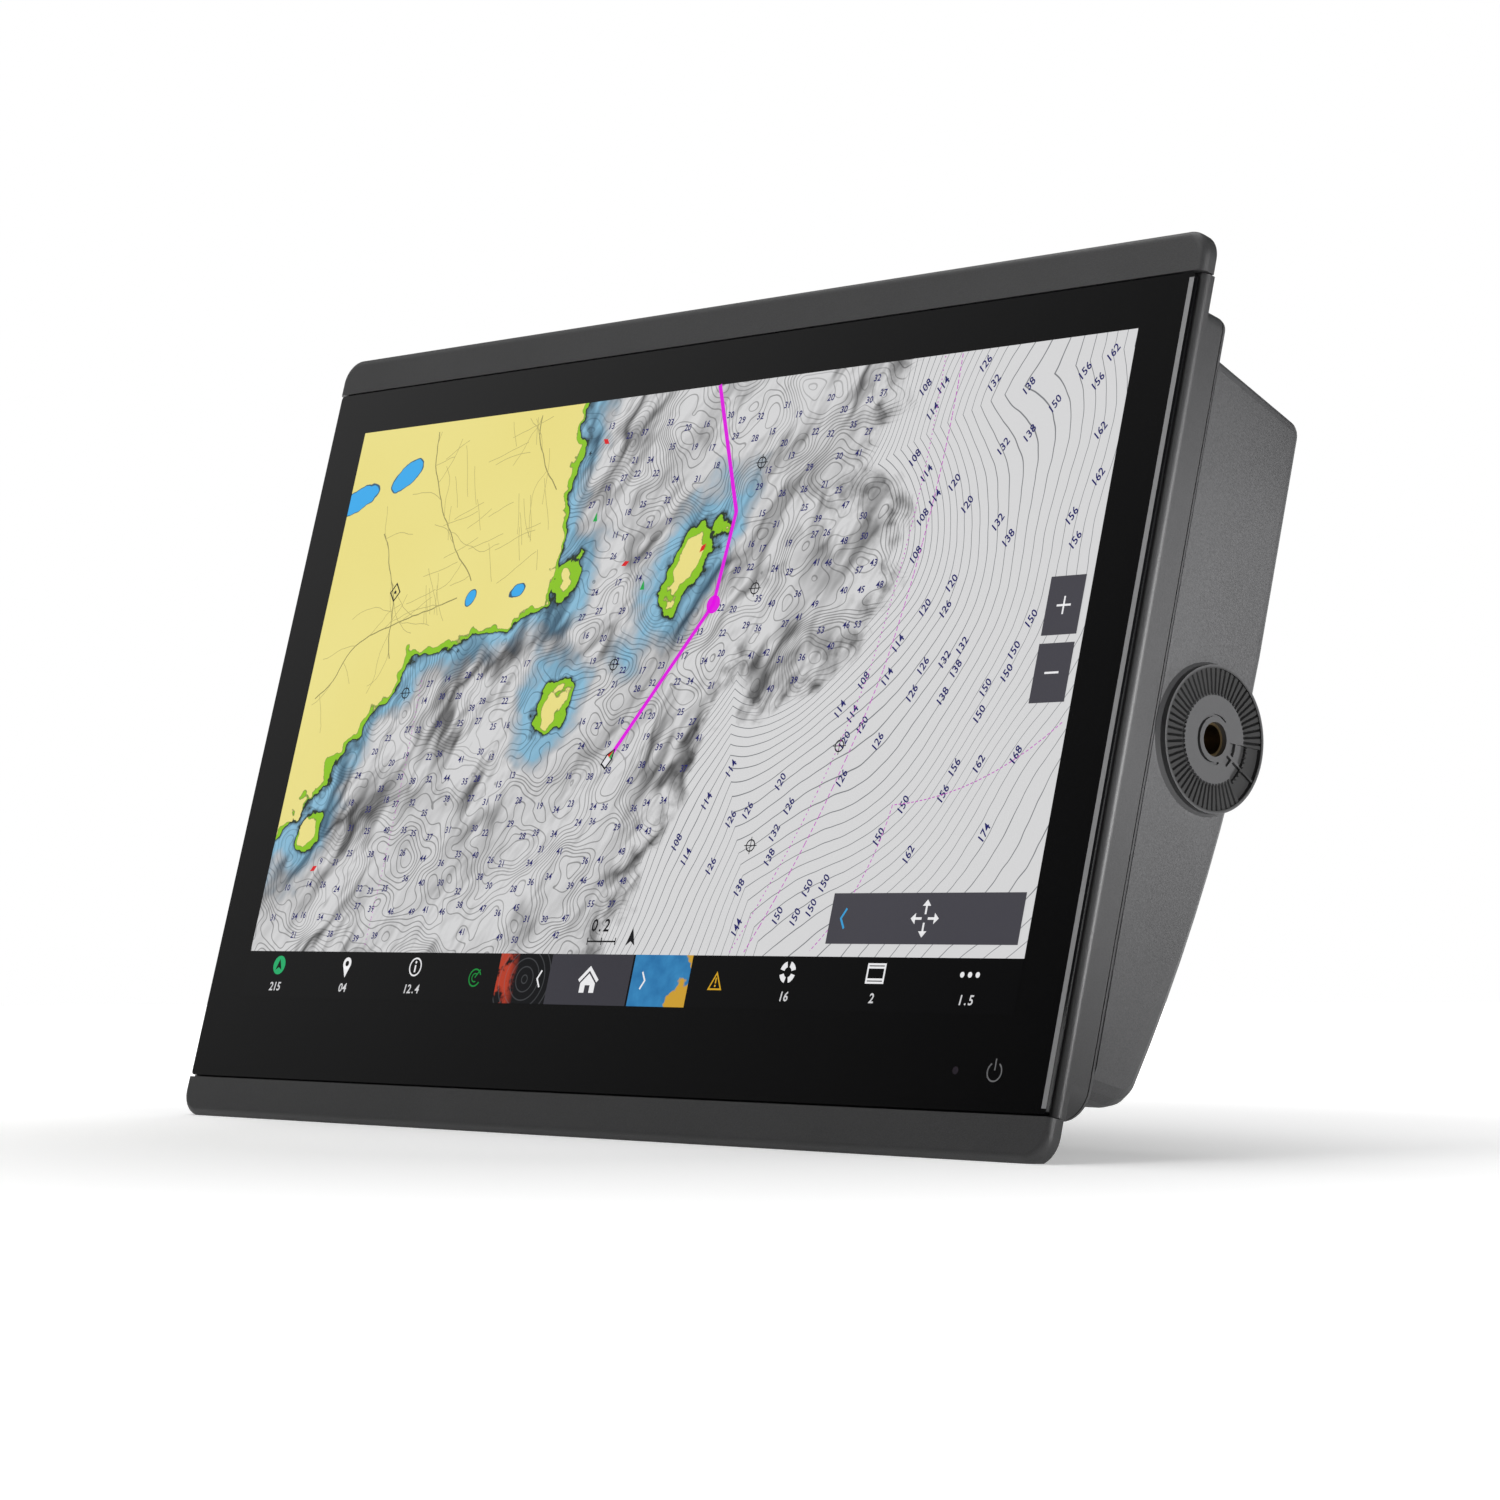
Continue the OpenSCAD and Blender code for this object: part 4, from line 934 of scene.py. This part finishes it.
def menu_pictures():
    """Small pictures of a radar sweep and of a chart beside the house."""
    s = Shader("menu_radar")
    x, _, z = s.axes()
    x = x - SCREEN_X / MM + 31.5
    z = z - SCREEN_Z / MM + 89.6
    far = root(x * x + z * z)
    rings = abs((far / 2.6).fraction() - 0.5).step(0.1, 0.04)
    echo = s.noise(s.vector(x, z, 2.0), 1 / 4, 4.0).step(0.4, 0.5) * x.step(-4, -8)
    base = s.mix(echo, linear(14, 15, 18), linear(184, 62, 40))
    shine(s, s.mix(rings * 0.3, base, linear(110, 112, 116)))
    Flat().rect(-44.5, -HALF_H, -20.4, MENU_TOP).piece("menu_radar_tile", s.material, 3)
    s = Shader("menu_chart")
    x, _, z = s.axes()
    x = x - SCREEN_X / MM
    z = z - SCREEN_Z / MM
    shore = s.noise(s.vector(x, z, 4.0), 1 / 9, 3.0) + (x - 33) * 0.028 - (z + 90) * 0.012
    sea = s.mix(s.noise(s.vector(x, z, 9.0), 1 / 5, 3.0), linear(22, 92, 150), linear(66, 150, 204))
    shine(s, s.mix(shore.step(0.6, 0.64), sea, linear(206, 160, 52)))
    Flat().rect(17.0, -HALF_H, 42.0, MENU_TOP).piece("menu_chart_tile", s.material, 3)


def glass_signs():
    """Touch key's sign and the dark window of the light sensor, printed under the glass."""
    low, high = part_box("light_sensor")
    x = (low.x + high.x) / 2 / MM - SCREEN_X / MM
    z = (low.z + high.z) / 2 / MM - SCREEN_Z / MM
    key_x = x + 14.4
    sign = Flat().ring(key_x, z, 2.35, 2.8, 122, 418)
    sign.rect(key_x - 0.24, z + 0.4, key_x + 0.24, z + 3.6)
    grey = surface("key_print", linear(128, 128, 130), 0.25, grain=0.3, depth=0.001, mottle=0.1)
    sign.piece("power_key_sign", grey, 1, "cover_glass")
    window = surface("sensor_window", linear(52, 46, 54), 0.1, grain=0.4, depth=0.001)
    Flat().disc(x, z, 1.1).piece("sensor_window", window, 1, "cover_glass")


def glass_edge():
    """Pale strip on the face of the glass along its right edge: a painted highlight for the glint of the
    ground edge.
    """
    right = (GLASS_HIGH.x - SCREEN_X) / MM - EDGE_BEVEL
    low = (GLASS_LOW.z - SCREEN_Z) / MM + 1.5
    high = (GLASS_HIGH.z - SCREEN_Z) / MM - 1.5
    # Painted highlight: pale colour standing in for the glint on the ground edge
    ground = surface("glass_edge", linear(150, 150, 151), 0.3, grain=0.4, depth=0.002, mottle=0.08)
    strip = Flat().rect(right - 1.7, low, right, high)
    strip.piece("painted_glint_strip", ground, 1, "cover_glass")


# ---------------------------------------------------------------- studio

# The unit stands on its lower front edge and leans back by this angle
LEAN = math.radians(15.2)
FLOOR_R = 1.7
FLOOR_GAP = 0.4 * MM
CAMERA_PLACE = Vector((0.94398, -0.79858, -0.27636))
CAMERA_RIGHT = Vector((0.68155, 0.70688, 0.18924))
CAMERA_UP = Vector((0.02874, -0.28426, 0.95832))
LENS_MM, SENSOR_MM = 101.216, 36.0


def floor():
    """Pale studio floor, tilted as the unit leans on it, which glows more the further out it is."""
    up = Vector((0, -math.sin(LEAN), math.cos(LEAN)))
    foot = Vector((0, cad_low.y, cad_low.z)) - up * FLOOR_GAP
    along = Vector((0, math.cos(LEAN), math.sin(LEAN)))
    sides = 96
    points = [foot]
    for i in range(sides):
        a = 2 * math.pi * i / sides
        points.append(foot + Vector((1, 0, 0)) * FLOOR_R * math.cos(a) + along * FLOOR_R * math.sin(a))
    faces = [(0, 1 + i, 1 + (i + 1) % sides) for i in range(sides)]
    mesh = bpy.data.meshes.new("studio_floor")
    mesh.from_pydata([tuple(p) for p in points], [], faces)
    s = Shader("studio_floor")
    grain = s.noise(s.scaled((1, 1, 1)), 1 / 3, 2.0)
    s.set("Base Color", s.mix(grain, linear(236, 236, 236), linear(240, 240, 240)))
    s.set("Roughness", 0.9)
    s.set("Specular IOR Level", 0.0)
    s.set("Emission Color", (1, 1, 1, 1))
    x, y, _ = s.axes()
    far = root(x * x * 0.8 + y * y) / 1000
    s.set("Emission Strength", far.step(0.1, 0.42) * 0.6 + 0.24)
    mesh.materials.append(s.material)
    obj = bpy.data.objects.new("studio_floor", mesh)
    bpy.context.scene.collection.objects.link(obj)


def camera():
    data = bpy.data.cameras.new("camera")
    data.lens = LENS_MM
    data.sensor_width = SENSOR_MM
    obj = bpy.data.objects.new("camera", data)
    back = CAMERA_RIGHT.cross(CAMERA_UP).normalized()
    turn = Matrix((CAMERA_RIGHT, CAMERA_UP, back)).transposed().to_4x4()
    obj.matrix_world = Matrix.Translation(CAMERA_PLACE) @ turn
    bpy.context.scene.collection.objects.link(obj)
    bpy.context.scene.camera = obj


def soft_light(name, place, aim, size, watts, spread=180):
    data = bpy.data.lights.new(name, "AREA")
    data.shape = "RECTANGLE"
    data.size, data.size_y = size
    data.energy = watts
    data.spread = math.radians(spread)
    obj = bpy.data.objects.new(name, data)
    obj.location = place
    obj.rotation_euler = (Vector(aim) - Vector(place)).to_track_quat("-Z", "Y").to_euler()
    bpy.context.scene.collection.objects.link(obj)


def world():
    """White backdrop for the camera, and a soft window on the user's left for everything else."""
    sky = bpy.data.worlds.new("studio")
    sky.use_nodes = True
    tree = sky.node_tree
    backdrop = tree.nodes["Background"]
    glow = tree.nodes.new("ShaderNodeBackground")
    mix = tree.nodes.new("ShaderNodeMixShader")
    path = tree.nodes.new("ShaderNodeLightPath")
    place = tree.nodes.new("ShaderNodeTexCoord")
    split = tree.nodes.new("ShaderNodeSeparateXYZ")
    tree.links.new(place.outputs["Generated"], split.inputs[0])
    x, y, z = [Num(tree, out) for out in split.outputs]
    window = (y.step(-0.76, -0.35) ** 1.3) * x.step(-0.2, -0.6) * y.step(0.2, -0.2)
    level = window * (z.step(0.05, 0.35) + 0.3) * z.step(0.85, 0.45) + 0.02
    tree.links.new(level.socket, glow.inputs["Strength"])
    glow.inputs["Color"].default_value = (1, 1, 1, 1)
    backdrop.inputs["Color"].default_value = (1, 1, 1, 1)
    backdrop.inputs["Strength"].default_value = 1.0
    tree.links.new(path.outputs["Is Camera Ray"], mix.inputs[0])
    tree.links.new(glow.outputs[0], mix.inputs[1])
    tree.links.new(backdrop.outputs[0], mix.inputs[2])
    tree.links.new(mix.outputs[0], tree.nodes["World Output"].inputs["Surface"])
    bpy.context.scene.world = sky


def studio():
    floor()
    camera()
    world()
    middle = (cad_low + cad_high) / 2
    side = middle + Vector((0, 0, 0.02))
    soft_light("key_light", (1.1, 0.0, 0.0), side, (0.14, 0.1), 0.36, 22)
    soft_light("top_light", (-0.4, -0.2, 1.4), middle, (1.4, 1.0), 11)
    soft_light("front_fill", (-0.5, -1.5, 0.9), middle, (0.9, 0.7), 7)
    soft_light("back_fill", (-0.9, 1.4, 0.7), middle, (1.2, 0.8), 5)
    bpy.context.scene.view_settings.view_transform = "Standard"


dress_nodes()
chart_picture()
roads()
soundings()
boundaries()
course()
sea_marks()
scale_and_north()
zoom_buttons()
menu_bar()
menu_pictures()
glass_signs()
glass_edge()
studio()
